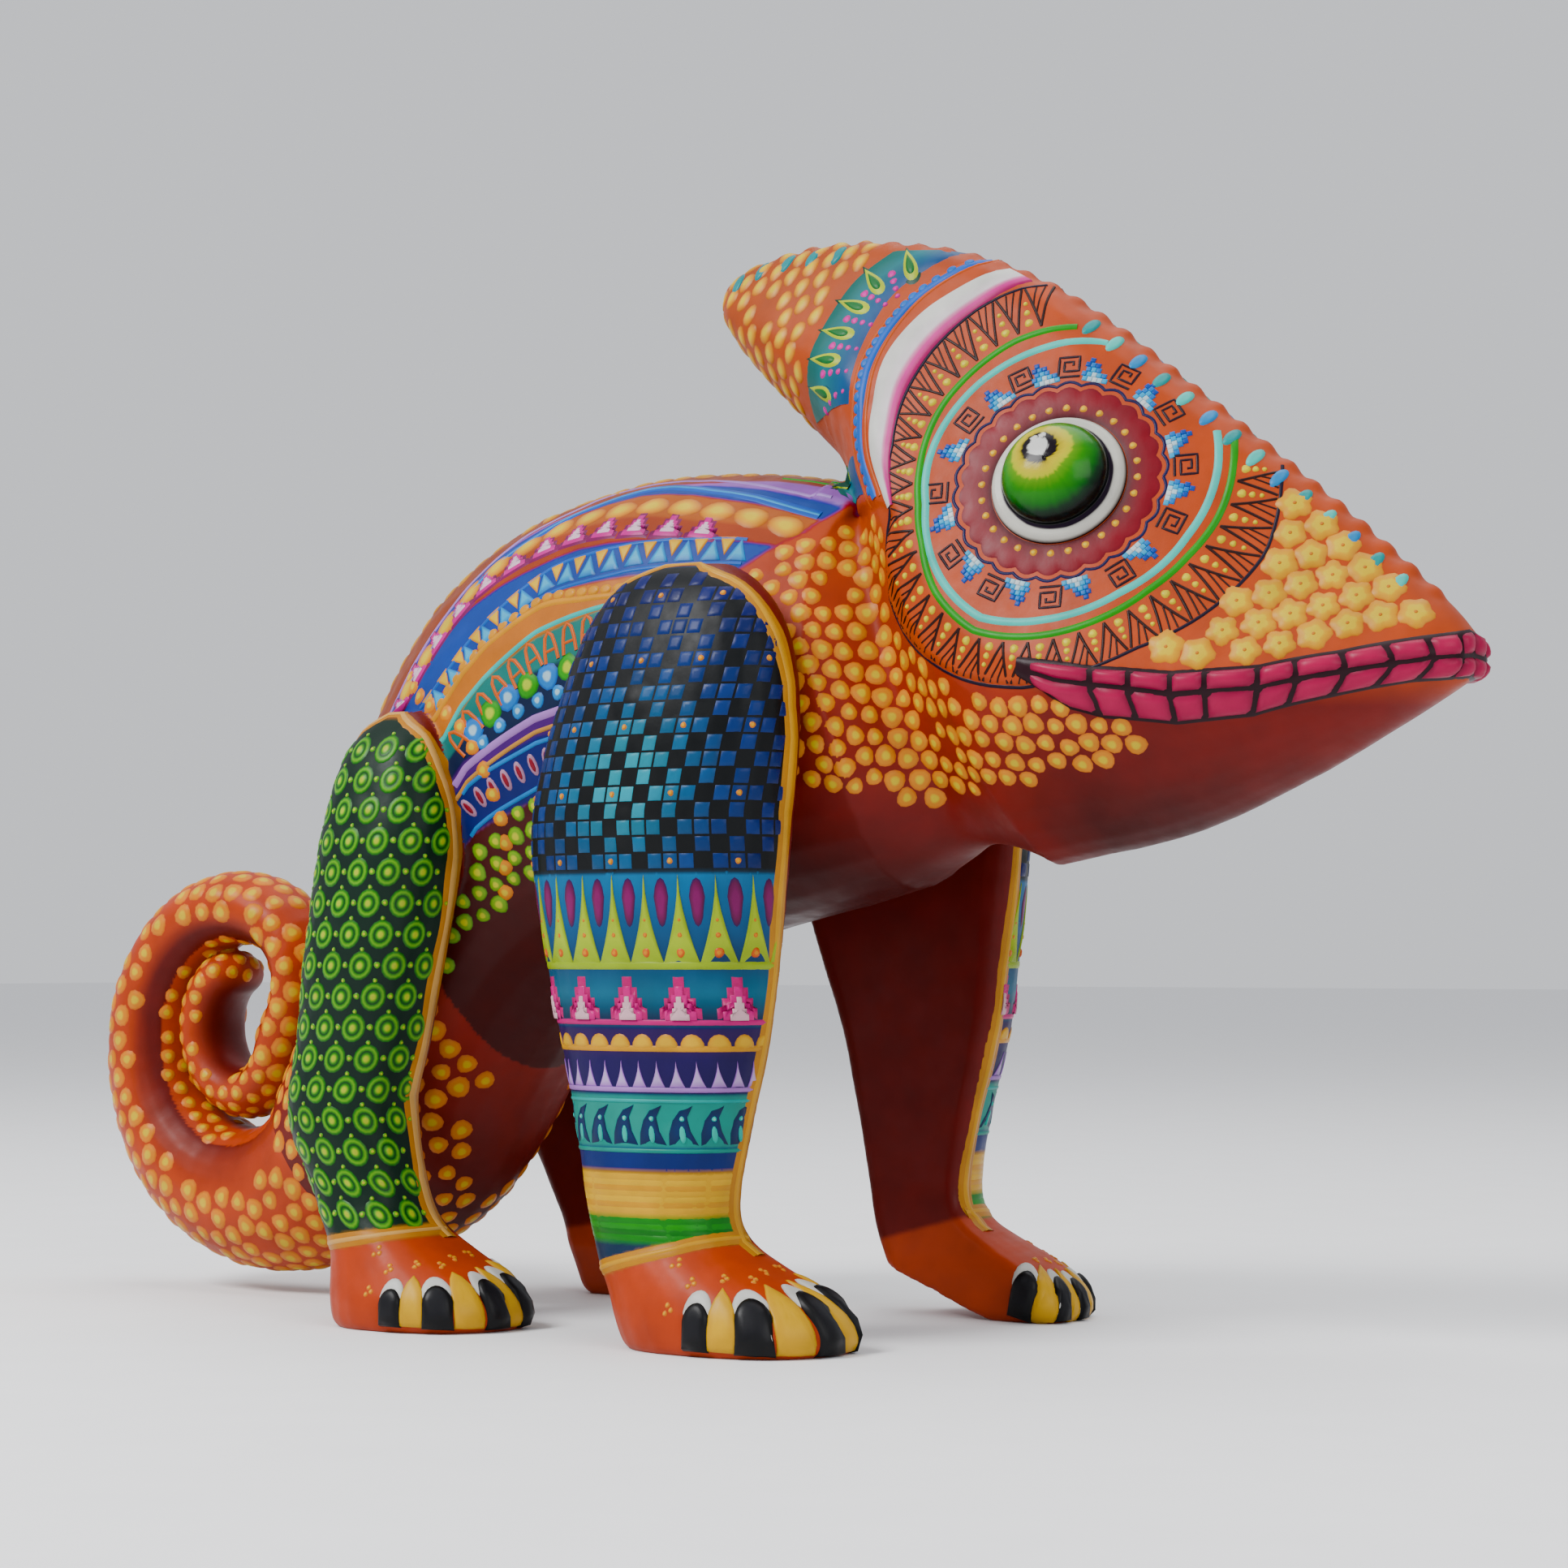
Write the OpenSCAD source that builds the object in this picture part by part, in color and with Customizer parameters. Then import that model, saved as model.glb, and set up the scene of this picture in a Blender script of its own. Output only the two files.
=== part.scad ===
// Carved and painted wooden chameleon, standing on four legs with a coiled tail.
// X runs from tail to snout, Z is up, and the soles stand on Z = 0.

/* [Body] */
// Clear width between the flat inner faces of a pair of legs
stance_w = 60; // [58:0.5:62]
// Depth of the flat seat that each leg is set into on the torso's side
seat_depth = 3; // [2:0.5:4]

/* [Head] */
// Width of the head across the cheeks
head_w = 56; // [54:1:60]
// Diameter of the eye button at its rim
eye_d = 22.5; // [21:0.5:24]
// Diameter of the raised iris dome
iris_d = 17.5; // [15:0.5:18.5]
// Height of the iris dome above its rim
iris_h = 8; // [6:0.5:9]

/* [Tail] */
// Distance from the coil's middle to the tail's centre line, below the middle
coil_r = 30.5; // [30:0.25:31]
// Half thickness of the tail at that lowest point
tail_r = 13; // [12.5:0.1:13]
// Travel of the push-fit tail before its peg leaves the socket
tail_travel = 22; // [10:1:22]

/* [Legs] */
// Height of the left front heel above the table
heel_lift = 9; // [6:1:10]

/* [Fastenings] */
// Diameter of the dowel that joins head and torso
neck_dowel_d = 10; // [8:1:12]
// Diameter of the peg that the tail slides on
tail_peg_d = 8; // [6:1:8]
// Diameter of the nails that hold the legs
nail_d = 1.8; // [1.4:0.2:2.4]

/* [Hidden] */
$fn = 48;

// The shapes below are drawn with the feet centred on X = 0. This moves the whole figure
// so that the origin is under the middle of its length.
figure_shift = -6.6;

// Half of one cross-section runs from the ridge to the keel in this many steps.
half_steps = 18;
leg_steps = 28;
tail_steps = 24;
fill = 3; // rings added between two stations

leg_plane = stance_w / 2;
torso_half_w = leg_plane + seat_depth;
seat_gap = 0.25;
glue_gap = 0.05; // clearance round a glued dowel or peg
slide_gap = 0.06; // clearance round the tail's sliding peg
bore_spare = 0.5; // extra depth at the blind end of a bore
past = 20; // how far an open bore is cut past the surface
wide = 200; // wider and taller than the whole figure

// Head and torso meet on a plane through the nape and the throat.
nape = [42, 141];
throat = [63, 76];
neck_mid = (nape + throat) / 2;
neck_lean = atan2(throat.x - nape.x, nape.y - throat.y);
neck_dowel_l = 40;
nape_rise = 2.2; // the back's ridge stands this much above the nape, under the casque

// Torso and tail meet on a plane square to the coil, at this angle before its lowest point.
tail_start = -40;
tail_end = 530;
coil_mid = [-102, 51.8];
coil_drop = 3.9; // extra radius at the lowest point, where the tail nears the table
coil_tuck = 5.5; // smaller radius between these two angles, where the coil passes the rump
tuck_from = 200;
tuck_to = 380;

// The peg is half in the tail and half in the torso, where it can slide.
peg_z = 20.5;
peg_mouth = -76; // where the peg crosses from tail to torso
peg_back = peg_mouth - 21;
peg_front = peg_mouth + tail_travel;

// Torso stations from tail root to chest: ridge x, ridge z, keel x, keel z,
// half width as a share of the widest, and how far the section turns from oval to wedge.
torso_stations = [
    [-82, 54, -57, 10.5, 0.53, 0],
    [-74, 75, -47, 17, 0.67, 0],
    [-66, 95, -40, 26, 0.79, 0],
    [-56, 114, -34, 37, 0.9, 0],
    [-43, 130, -27, 47, 0.97, 0],
    [-27, 140, -17, 56, 1.0, 0],
    [-9, 145, -4, 62, 1.0, 0],
    [9, 146.5, 14, 66.5, 1.0, 0],
    [27, 145, 35, 71, 0.97, 0.2],
    [44, 141.5, 54, 75.5, 0.89, 0.5],
    [60, 136, 70, 78.5, 0.82, 0.8],
    [76, 132, 84, 80, 0.74, 0.9],
];

// Head stations from the tip of the casque to the snout, in the same form.
head_stations = [
    [10.5, 178.5, 10.5, 173.5, 0.08, 0.4],
    [13.5, 181.5, 14, 168.5, 0.19, 0.5],
    [22, 183.5, 21, 161, 0.31, 0.7],
    [37, 184, 31, 151.5, 0.43, 0.9],
    [55, 181.5, 39, 142, 0.59, 1],
    [71, 175.5, 46, 120, 0.78, 1],
    [85, 167, 54, 92, 0.94, 0.9],
    [97, 158, 68, 78, 1.0, 0.9],
    [109, 148.5, 86, 79.5, 0.94, 0.95],
    [120, 139.5, 103, 83, 0.8, 1],
    [130, 131, 119, 89, 0.63, 1],
    [139, 123, 133, 96, 0.46, 0.9],
    [146, 116.5, 143, 101.5, 0.32, 0.6],
    [149.5, 112, 148.8, 104.8, 0.17, 0.2],
];

// Leg stations from sole to shoulder: z, rear x, front x, inner y, outer y.
// The y values count from the flat inner face, outwards.
front_leg_stations = [
    [0, 18.5, 56, -2, 18],
    [1.5, 17.5, 57.5, -3, 19],
    [5, 16, 56.5, -3, 19],
    [9, 14.5, 52, -3, 18],
    [13, 12.5, 44, -2, 16.5],
    [17, 11, 37.5, -1, 15],
    [23, 9.5, 35.5, 0, 15],
    [35, 7, 38, 0, 15],
    [50, 3.5, 42, 0, 16],
    [63, 0.5, 44, 0, 17],
    [76, -2, 45.5, 0, 18],
    [86, -2, 46.5, 0, 18.5],
    [97, 0.5, 47.5, 0, 18],
    [106, 3.5, 47.5, 0, 16.5],
    [114, 6.5, 46, 0, 14.5],
    [120, 10, 43, 0, 12],
    [124.5, 14.5, 38.5, 0, 9],
    [127, 20, 33.5, 0, 5.5],
];
hind_leg_stations = [
    [0, -44, -11.5, -2, 17.5],
    [1.5, -45, -10, -3, 18.5],
    [5, -45.5, -11, -3, 18.5],
    [9, -46, -15, -3, 17],
    [13, -46.5, -22, -2, 15.5],
    [18, -48.5, -29, -1, 14.5],
    [25, -52, -31.5, 0, 14],
    [32, -55.5, -33, 0, 15],
    [39, -56.5, -33.5, 0, 15],
    [48, -55, -31, 0, 15],
    [60, -53, -28, 0, 16],
    [70, -51.5, -25.5, 0, 16],
    [80, -50, -23.5, 0, 16],
    [89, -48.5, -24, 0, 14],
    [97, -46, -26.5, 0, 11.5],
    [102, -43, -29, 0, 8],
    [105, -40, -32.5, 0, 4.5],
];

// The two sides were carved by hand and differ. The left front leg steps a little further
// forward and is slimmer at the back, and the left hind leg has a fuller shin.
left_front_stations = [
    for (s = front_leg_stations)
        let (slim = 7 * min(1, max(0, (100 - s[0]) / 50)))
        [s[0], s[1] + 2 + slim, s[2] + 2, s[3], s[4]]
];
left_hind_stations = [
    for (s = hind_leg_stations)
        let (full = 6 * sin(180 * min(1, s[0] / 60)))
        [s[0], s[1] - full, s[2] - full / 2, s[3], s[4]]
];

// Nails: x and z of each one, then how far out of the leg's inner face the plug over its
// head ends, just under the leg's surface. The two sides are alike.
front_nails = [[25, 104, 15.6], [24, 84, 18.2]];
hind_nails = [[-37, 88, 13.2], [-39, 70, 15.7]];
nail_l = 28;
nail_head_d = 3.6;
nail_head_h = 1.2;
nail_head_y = 8; // from the leg's inner face to the underside of the nail's head
plug_d = 4.4;

// Eye button: place of its middle on the right of the head, and the way it faces.
eye_mid = [86.5, -15.6, 138.5];
eye_turn = 14;
eye_tip = 20;
eye_sunk = 2.5;
eye_peg_d = 6;
eye_peg_l = 7;

// Catmull-Rom blend between rows b and c of a table
function blend(a, b, c, d, t) =
    0.5 * (2 * b + (c - a) * t + (2 * a - 5 * b + 4 * c - d) * t * t
        + (3 * b - a - 3 * c + d) * t * t * t);
function held(rows, i) = rows[min(max(i, 0), len(rows) - 1)];
function smooth_rows(rows) = [
    for (i = [0 : len(rows) - 2])
        for (s = [0 : fill - 1])
            blend(held(rows, i - 1), rows[i], rows[i + 1], held(rows, i + 2), s / fill),
    rows[len(rows) - 1]
];

// Half width of a cross-section, as a share of its widest, at depth t below the ridge.
// The oval is a full ellipse. The wedge has flat cheeks that widen downwards from a narrow
// ridge, and a jaw that closes quickly below them.
function oval_w(t) = pow(4 * t * (1 - t), 0.44);
function cheek_w(t) = (0.15 + 1.36 * t) * min(1, pow(t / 0.04, 0.35));
function jaw_w(t) = 1.85 * pow(1 - t, 0.6);
function wedge_w(t) = cheek_w(t) * jaw_w(t) / pow(pow(cheek_w(t), 8) + pow(jaw_w(t), 8), 0.125);
function section_w(t, wedge) = oval_w(t) * (1 - wedge) + wedge_w(t) * wedge;
function depth(i) = (1 - cos(180 * i / half_steps)) / 2;

// One closed ring of a body station: down the right side, then up the left side.
function body_point(s, i, side, full_w) =
    let (t = depth(i))
    [s[0] + (s[2] - s[0]) * t, side * s[4] * full_w * section_w(t, s[5]), s[1] + (s[3] - s[1]) * t];
function body_ring(s, full_w) = concat(
    [for (i = [0 : half_steps]) body_point(s, i, -1, full_w)],
    [for (i = [half_steps - 1 : -1 : 1]) body_point(s, i, 1, full_w)]
);

// Skin through a list of rings that all have the same number of points
module loft(rings) {
    n = len(rings[0]);
    last = len(rings) - 1;
    sides = [
        for (r = [0 : last - 1])
            for (i = [0 : n - 1])
                let (j = (i + 1) % n)
                each [
                    [r * n + i, (r + 1) * n + i, (r + 1) * n + j],
                    [r * n + i, (r + 1) * n + j, r * n + j]
                ]
    ];
    first_cap = [[for (i = [0 : n - 1]) i]];
    last_cap = [[for (i = [n - 1 : -1 : 0]) last * n + i]];
    polyhedron([for (ring = rings) each ring], concat(sides, first_cap, last_cap));
}

// Square to the neck's plane, at its middle, with local Z pointing into the head
module at_neck() translate([neck_mid.x, 0, neck_mid.y]) rotate([0, 90 - neck_lean, 0]) children();

// Everything in front of the neck's plane, or behind it, up to a height
module neck_block(behind, top) {
    reach = behind ? -wide : wide;
    slope = (nape.x - throat.x) / (nape.y - throat.y);
    top_x = throat.x + slope * (top - throat.y);
    low_x = throat.x - slope * throat.y;
    rotate([90, 0, 0])
        linear_extrude(wide, center = true)
            polygon([[low_x, 0], [top_x, top], [reach, top], [reach, 0]]);
}

module neck_bore()
    at_neck() cylinder(h = neck_dowel_l + 2 * bore_spare, r = neck_dowel_d / 2 + glue_gap, center = true);

// The coil: distance of the tail's centre line from the coil's middle, then its half thickness
function tuck_share(a) =
    a > tuck_from && a < tuck_to ? pow(sin(180 * (a - tuck_from) / (tuck_to - tuck_from)), 2) : 0;
function coil_at(a) =
    (coil_r + coil_drop * pow(max(0, cos(a)), 2)) * exp(-a / 445) - coil_tuck * tuck_share(a);
function tail_r_at(a) = 4.2 + (tail_r - 4.2) * exp(-a / 140) + (a < 0 ? 1.7 * pow(a / tail_start, 2) : 0);
function tail_w_at(a) = 7 + 6 * exp(-a / 150);
function tip_share(a) = a > tail_end - 30 ? sqrt(max(0.12, 1 - pow((a - tail_end + 30) / 30, 2))) : 1;
function tail_ring(a) = [
    for (i = [0 : tail_steps - 1])
        let (
            turn = 360 * i / tail_steps,
            out = coil_at(a) + tail_r_at(a) * tip_share(a) * cos(turn)
        )
        [
            coil_mid.x - out * sin(a),
            tail_w_at(a) * tip_share(a) * sin(turn),
            coil_mid.y - out * cos(a)
        ]
];

// The torso starts on the tail's first ring, so its first station follows the coil.
root_in = coil_at(tail_start) - tail_r_at(tail_start);
root_out = coil_at(tail_start) + tail_r_at(tail_start);
root_station = [
    coil_mid.x - root_in * sin(tail_start), coil_mid.y - root_in * cos(tail_start),
    coil_mid.x - root_out * sin(tail_start), coil_mid.y - root_out * cos(tail_start),
    tail_w_at(tail_start) / torso_half_w, 0
];

// Ring of a leg: flat on its inner face and rounded on its outer one
function leg_ring(s) =
    let (mid = (s[1] + s[2]) / 2, half = (s[2] - s[1]) / 2, edge = min(3, s[4] * 0.4))
    [
        for (i = [0 : leg_steps - 1])
            let (
                turn = -360 * i / leg_steps,
                c = cos(turn),
                d = sin(turn),
                along = sign(c) * pow(abs(c), 0.8),
                across = d > 0 ? (s[4] - edge) * pow(d, 0.8) : -1.3 * (edge - s[3]) * pow(-d, 0.5)
            )
            [mid + half * along, -leg_plane - max(edge + across, s[3]), s[0]]
    ];
module leg_solid(stations) loft([for (s = smooth_rows(stations)) leg_ring(s)]);

// Side outline of a leg, a little wider than the leg, for the seat in the torso
module leg_seat(stations, side) {
    rows = smooth_rows(stations);
    outline = concat(
        [for (s = rows) [s[2] + seat_gap, s[0]]],
        [for (i = [len(rows) - 1 : -1 : 0]) [rows[i][1] - seat_gap, rows[i][0]]]
    );
    translate([0, side * (leg_plane + 15), 0])
        rotate([90, 0, 0])
            linear_extrude(30, center = true) polygon(outline);
}

module at_nail(place) translate([place.x, -leg_plane, place.y]) rotate([90, 0, 0]) children();
module nail() {
    translate([0, 0, nail_head_y - nail_l]) cylinder(h = nail_l, d = nail_d);
    translate([0, 0, nail_head_y]) cylinder(h = nail_head_h, d = nail_head_d);
}
module nail_bore() {
    translate([0, 0, nail_head_y - nail_l - bore_spare]) cylinder(h = nail_l + 1, r = nail_d / 2 + glue_gap);
    translate([0, 0, nail_head_y]) cylinder(h = past, r = plug_d / 2 + glue_gap);
}
module nails(places) color("silver") for (place = places) at_nail(place) nail();
module filler(places) {
    base = nail_head_y + nail_head_h;
    color("tan")
        for (place = places)
            at_nail([place.x, place.y]) translate([0, 0, base]) cylinder(h = place[2] - base, d = plug_d);
}

module torso() {
    color("darkorange")
        difference() {
            loft([for (s = smooth_rows(concat([root_station], torso_stations))) body_ring(s, torso_half_w)]);
            neck_block(false, wide);
            neck_bore();
            leg_seat(front_leg_stations, -1);
            leg_seat(hind_leg_stations, -1);
            leg_seat(left_front_stations, 1);
            leg_seat(left_hind_stations, 1);
            for (side = [0, 1])
                mirror([0, side, 0])
                    for (place = concat(front_nails, hind_nails))
                        at_nail(place) nail_bore();
            translate([peg_front + bore_spare, 0, peg_z])
                rotate([0, -90, 0])
                    cylinder(h = peg_front - peg_back, r = tail_peg_d / 2 + slide_gap);
        }
}

module head() {
    color("orangered")
        difference() {
            loft([for (s = smooth_rows(head_stations)) body_ring(s, head_w / 2)]);
            neck_block(true, nape.y + nape_rise);
            neck_bore();
            for (side = [0, 1]) mirror([0, side, 0]) eye_socket();
        }
}

module neck_dowel()
    color("burlywood") at_neck() cylinder(h = neck_dowel_l, d = neck_dowel_d, center = true);

module at_eye()
    translate(eye_mid) rotate([0, 0, eye_turn]) rotate([90 - eye_tip, 0, 0]) children();
module eye_socket()
    at_eye() {
        translate([0, 0, -eye_sunk]) cylinder(h = past, r = eye_d / 2 + glue_gap);
        translate([0, 0, -eye_sunk - eye_peg_l - bore_spare])
            cylinder(h = past, r = eye_peg_d / 2 + glue_gap);
    }
module eye() {
    rim_h = 1;
    iris_base = 1.8;
    dome = [for (a = [0 : 10 : 90]) [iris_d / 2 * cos(a), iris_base + iris_h * sin(a)]];
    button = concat(
        [[0, -eye_sunk], [eye_d / 2, -eye_sunk], [eye_d / 2, rim_h], [eye_d / 2 - 1.2, iris_base - 0.2]],
        dome
    );
    color("white")
        at_eye() {
            rotate_extrude() polygon(button);
            translate([0, 0, -eye_sunk - eye_peg_l]) cylinder(h = eye_peg_l + 1, d = eye_peg_d);
        }
}
module eye_right() eye();
module eye_left() mirror([0, 1, 0]) eye();

module tail() {
    color("orangered")
        difference() {
            loft([for (a = [tail_end : -10 : tail_start]) tail_ring(a)]);
            translate([peg_back - bore_spare, 0, peg_z])
                rotate([0, 90, 0])
                    cylinder(h = peg_front - peg_back, r = tail_peg_d / 2 + glue_gap);
        }
}
module tail_peg()
    color("burlywood")
        translate([peg_back, 0, peg_z]) rotate([0, 90, 0]) cylinder(h = peg_front - peg_back, d = tail_peg_d);

// A leg with its nail holes. The lifted foot is cut by a sole that slopes up to the heel.
module leg(stations, places, shade)
    color(shade)
        difference() {
            leg_solid(stations);
            for (place = places) at_nail(place) nail_bore();
        }
module heel_cut() {
    toe_x = 46;
    heel_x = 24;
    behind_x = heel_x - 10;
    rotate([90, 0, 0])
        linear_extrude(wide, center = true)
            polygon([
                [toe_x, 0], [heel_x, heel_lift], [behind_x, heel_lift + 3], [behind_x, -1], [toe_x, -1]
            ]);
}
module leg_front_right() leg(front_leg_stations, front_nails, "navy");
module leg_front_left() difference() {
    mirror([0, 1, 0]) leg(left_front_stations, front_nails, "navy");
    color("navy") heel_cut();
}
module leg_hind_right() leg(hind_leg_stations, hind_nails, "darkgreen");
module leg_hind_left() mirror([0, 1, 0]) leg(left_hind_stations, hind_nails, "darkgreen");

module nails_front_right() nails(front_nails);
module nails_front_left() mirror([0, 1, 0]) nails(front_nails);
module nails_hind_right() nails(hind_nails);
module nails_hind_left() mirror([0, 1, 0]) nails(hind_nails);
module filler_front_right() filler(front_nails);
module filler_front_left() mirror([0, 1, 0]) filler(front_nails);
module filler_hind_right() filler(hind_nails);
module filler_hind_left() mirror([0, 1, 0]) filler(hind_nails);

translate([figure_shift, 0, 0]) {
    torso();
    head();
    neck_dowel();
    eye_right();
    eye_left();
    tail();
    tail_peg();
    leg_front_right();
    leg_front_left();
    leg_hind_right();
    leg_hind_left();
    nails_front_right();
    nails_front_left();
    nails_hind_right();
    nails_hind_left();
    filler_front_right();
    filler_front_left();
    filler_hind_right();
    filler_hind_left();
}
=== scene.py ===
import math
import random

import bpy
import numpy as np
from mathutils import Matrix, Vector, noise
from mathutils.bvhtree import BVHTree


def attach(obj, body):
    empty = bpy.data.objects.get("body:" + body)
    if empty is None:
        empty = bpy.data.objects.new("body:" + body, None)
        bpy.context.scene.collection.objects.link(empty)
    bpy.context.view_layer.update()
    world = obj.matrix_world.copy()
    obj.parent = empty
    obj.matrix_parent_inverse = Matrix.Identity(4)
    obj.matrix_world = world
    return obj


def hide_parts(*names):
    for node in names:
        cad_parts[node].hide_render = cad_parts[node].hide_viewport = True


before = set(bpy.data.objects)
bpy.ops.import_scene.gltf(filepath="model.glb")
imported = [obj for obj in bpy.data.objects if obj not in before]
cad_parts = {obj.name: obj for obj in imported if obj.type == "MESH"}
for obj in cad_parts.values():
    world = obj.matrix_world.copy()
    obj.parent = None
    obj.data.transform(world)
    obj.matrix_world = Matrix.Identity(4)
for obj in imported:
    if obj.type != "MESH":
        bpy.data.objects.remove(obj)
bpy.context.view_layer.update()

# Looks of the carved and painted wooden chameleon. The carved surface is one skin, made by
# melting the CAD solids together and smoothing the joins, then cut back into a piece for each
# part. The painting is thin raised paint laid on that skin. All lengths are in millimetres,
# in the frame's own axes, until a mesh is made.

random.seed(11)
MM = 0.001

# ---------------------------------------------------------------- colours


def shade(code):
    """Linear colour from a six-digit screen code"""
    parts = [int(code[i:i + 2], 16) / 255 for i in (0, 2, 4)]
    return np.array([p / 12.92 if p <= 0.04045 else ((p + 0.055) / 1.055) ** 2.4 for p in parts])


def shades(*codes):
    """Several linear colours"""
    return tuple(shade(code) for code in codes)


ORANGE = shade("D04A00")
BURNT = shade("9E3E04")
# DEEP_RED and BRIGHT_RED are the dark reds of the undersides, jaw and chest: their paint, made darker still
# as painted shade
DEEP_RED = shade("540400")
BRIGHT_RED = shade("8A0C00")
FOOT_RED = shade("D24204")
YOLK = shade("FFB818")
CREAM = shade("FFE070")
YELLOW = shade("F7BA00")
TAN = shade("D9963E")
LIME_DOT = shade("D8D800")
GREEN = shade("16A60E")
DARK_GREEN = shade("04281A")
AQUA = shade("7FE0D5")
TEAL = shade("12808A")
INK = shade("1C0A22")
BLACK = shade("0A0A0C")
WHITE = shade("F2F2EC")
PALE_BLUE = shade("D8F4FF")
MAGENTA = shade("C8127A")
CRIMSON = shade("900420")
LIP = shade("CC0A56")
LILAC = shade("C8A0E0")


def mix(a, b, share):
    """Colour between a and b"""
    share = min(1.0, max(0.0, share))
    return a * (1 - share) + b * share


def ramp(stops, at):
    """Colour from a list of (place, colour) stops"""
    for (low, first), (high, second) in zip(stops, stops[1:]):
        if at <= high:
            return mix(first, second, (at - low) / (high - low))
    return stops[-1][1]


def curve(points, count):
    """Smooth line through a few chosen points, as a Catmull-Rom spline with count points"""
    rows = np.array(points, float)
    rows = np.vstack([2 * rows[0] - rows[1], rows, 2 * rows[-1] - rows[-2]])
    spans = len(rows) - 3
    line = []
    for k in range(count):
        at = k / (count - 1) * spans
        i = min(int(at), spans - 1)
        t = at - i
        a, b, c, d = rows[i:i + 4]
        line.append(0.5 * (2 * b + (c - a) * t + (2 * a - 5 * b + 4 * c - d) * t * t
                           + (3 * b - a - 3 * c + d) * t ** 3))
    return np.array(line)


def read_off(stops, at):
    """Values between the (place, value) pairs of a short list"""
    places, values = zip(*stops)
    return np.interp(at, places, values)


def distances(points):
    """Distance of each point of a line from its start, along the line"""
    steps = np.linalg.norm(np.diff(points, axis=0), axis=1)
    return np.concatenate([[0], np.cumsum(steps)])


def turns_round(count):
    """Evenly spread angles of a full turn"""
    return np.linspace(0, 2 * math.pi, count, endpoint=False)


def unit_rows(rows):
    """Rows of numbers, each scaled to length 1"""
    return rows / np.maximum(np.linalg.norm(rows, axis=1, keepdims=True), 1e-9)


# ---------------------------------------------------------------- places on the figure

LEGS = ("leg_front_right", "leg_front_left", "leg_hind_right", "leg_hind_left")
SIDES = {"right": -1, "left": 1}

# Ridge of the head from the casque's tip to the snout: x, z
HEAD_RIDGE = [(4, 179), (15.4, 183.5), (30.4, 184), (48.4, 181.5), (64.4, 175.5), (78.4, 167),
              (90.4, 158), (102.4, 148.5), (113.4, 139.5), (123.4, 131), (132.4, 123), (139.4, 116.5)]

# Lines across the body from ridge to keel, from tail root to chest: ridge x, z, keel x, z
BODY_LINES = [(-88.6, 54, -63.6, 10.5), (-80.6, 75, -53.6, 17), (-72.6, 95, -46.6, 26),
              (-62.6, 114, -40.6, 37), (-49.6, 130, -33.6, 47), (-33.6, 140, -23.6, 56),
              (-15.6, 145, -10.6, 62), (2.4, 146.5, 7.4, 66.5), (20.4, 145, 28.4, 71),
              (37.4, 141.5, 47.4, 75.5), (53.4, 136, 63.4, 78.5), (69.4, 132, 77.4, 80)]
BODY_MIDDLE = 0.45  # how far down each line the body's middle is

# Eye button: middle on the right, and how far it faces forwards and up
EYE_PLACE = np.array([79.9, -15.6, 138.5])
EYE_TURN = math.radians(14)
EYE_TIP = math.radians(20)

# Outline of the head's cheek over the neck, in the eye's own plane: forwards, up
CHEEK = [(-29.2, -2.5), (-28.3, -4.3), (-29.6, -8.8), (-30.1, -15.2), (-27, -21), (-21.4, -27.2),
         (-14.8, -31.8), (-7.4, -34.3), (-1.5, -34.9)]
HEAD_OUTLINE = CHEEK + [(8, -37), (20, -38.5), (40, -36), (62, -32), (90, -30), (90, 80),
                        (-90, 80), (-90, 20), (-40, 3)]

# Mouth: distance from its corner round to the snout, then angle, and heights of its lines
MOUTH_MIDDLE = (100, 0)
MOUTH_LENGTH = 71.5
MOUTH_TURN = [(0, -129), (12, -110.6), (24.5, -81.8), (37.4, -46.8), (50, -24), (62, -10.4), (71.5, 0)]
MOUTH_TOP = [(0, 109.3), (12, 107.6), (24.5, 106.4), (37.4, 107), (50, 109), (62, 111), (71.5, 112.3)]
MOUTH_MID = [(0, 108), (6, 105.8), (12, 105), (24.5, 103.2), (37.4, 104), (50, 106.2), (62, 107.9),
             (71.5, 108.6)]
MOUTH_LOW = [(0, 107.2), (3, 104.2), (6, 101.8), (12, 100.2), (24.5, 99), (37.4, 100), (50, 102.7),
             (62, 104.8), (71.5, 105.4)]

# The tail's coil, as in the CAD source: its middle, the angles at which it starts and ends, its
# radius, the angle over which that shrinks to a third, and how much it sags below and tucks in
# in front
COIL = {"x": -108.6, "z": 51.8, "start": -40, "end": 530, "radius": 30.5, "shrink": 445,
        "sag": 3.9, "tuck": 5.5, "tuck_start": 200, "tuck_end": 380}


def coil_radius(angle):
    """Distance of the tail's middle line from the coil's middle"""
    sag = COIL["sag"] * max(0, math.cos(math.radians(angle))) ** 2
    tuck = 0
    if COIL["tuck_start"] < angle < COIL["tuck_end"]:
        tuck = COIL["tuck"] * math.sin(math.radians(angle - COIL["tuck_start"])) ** 2
    return (COIL["radius"] + sag) * math.exp(-angle / COIL["shrink"]) - tuck


def coil_place(points):
    """Angle round the coil, in degrees from below, and distance from its middle"""
    back, down = COIL["x"] - points[:, 0], COIL["z"] - points[:, 2]
    return np.degrees(np.arctan2(back, down)), np.hypot(back, down)


# ---------------------------------------------------------------- carved skin

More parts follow.
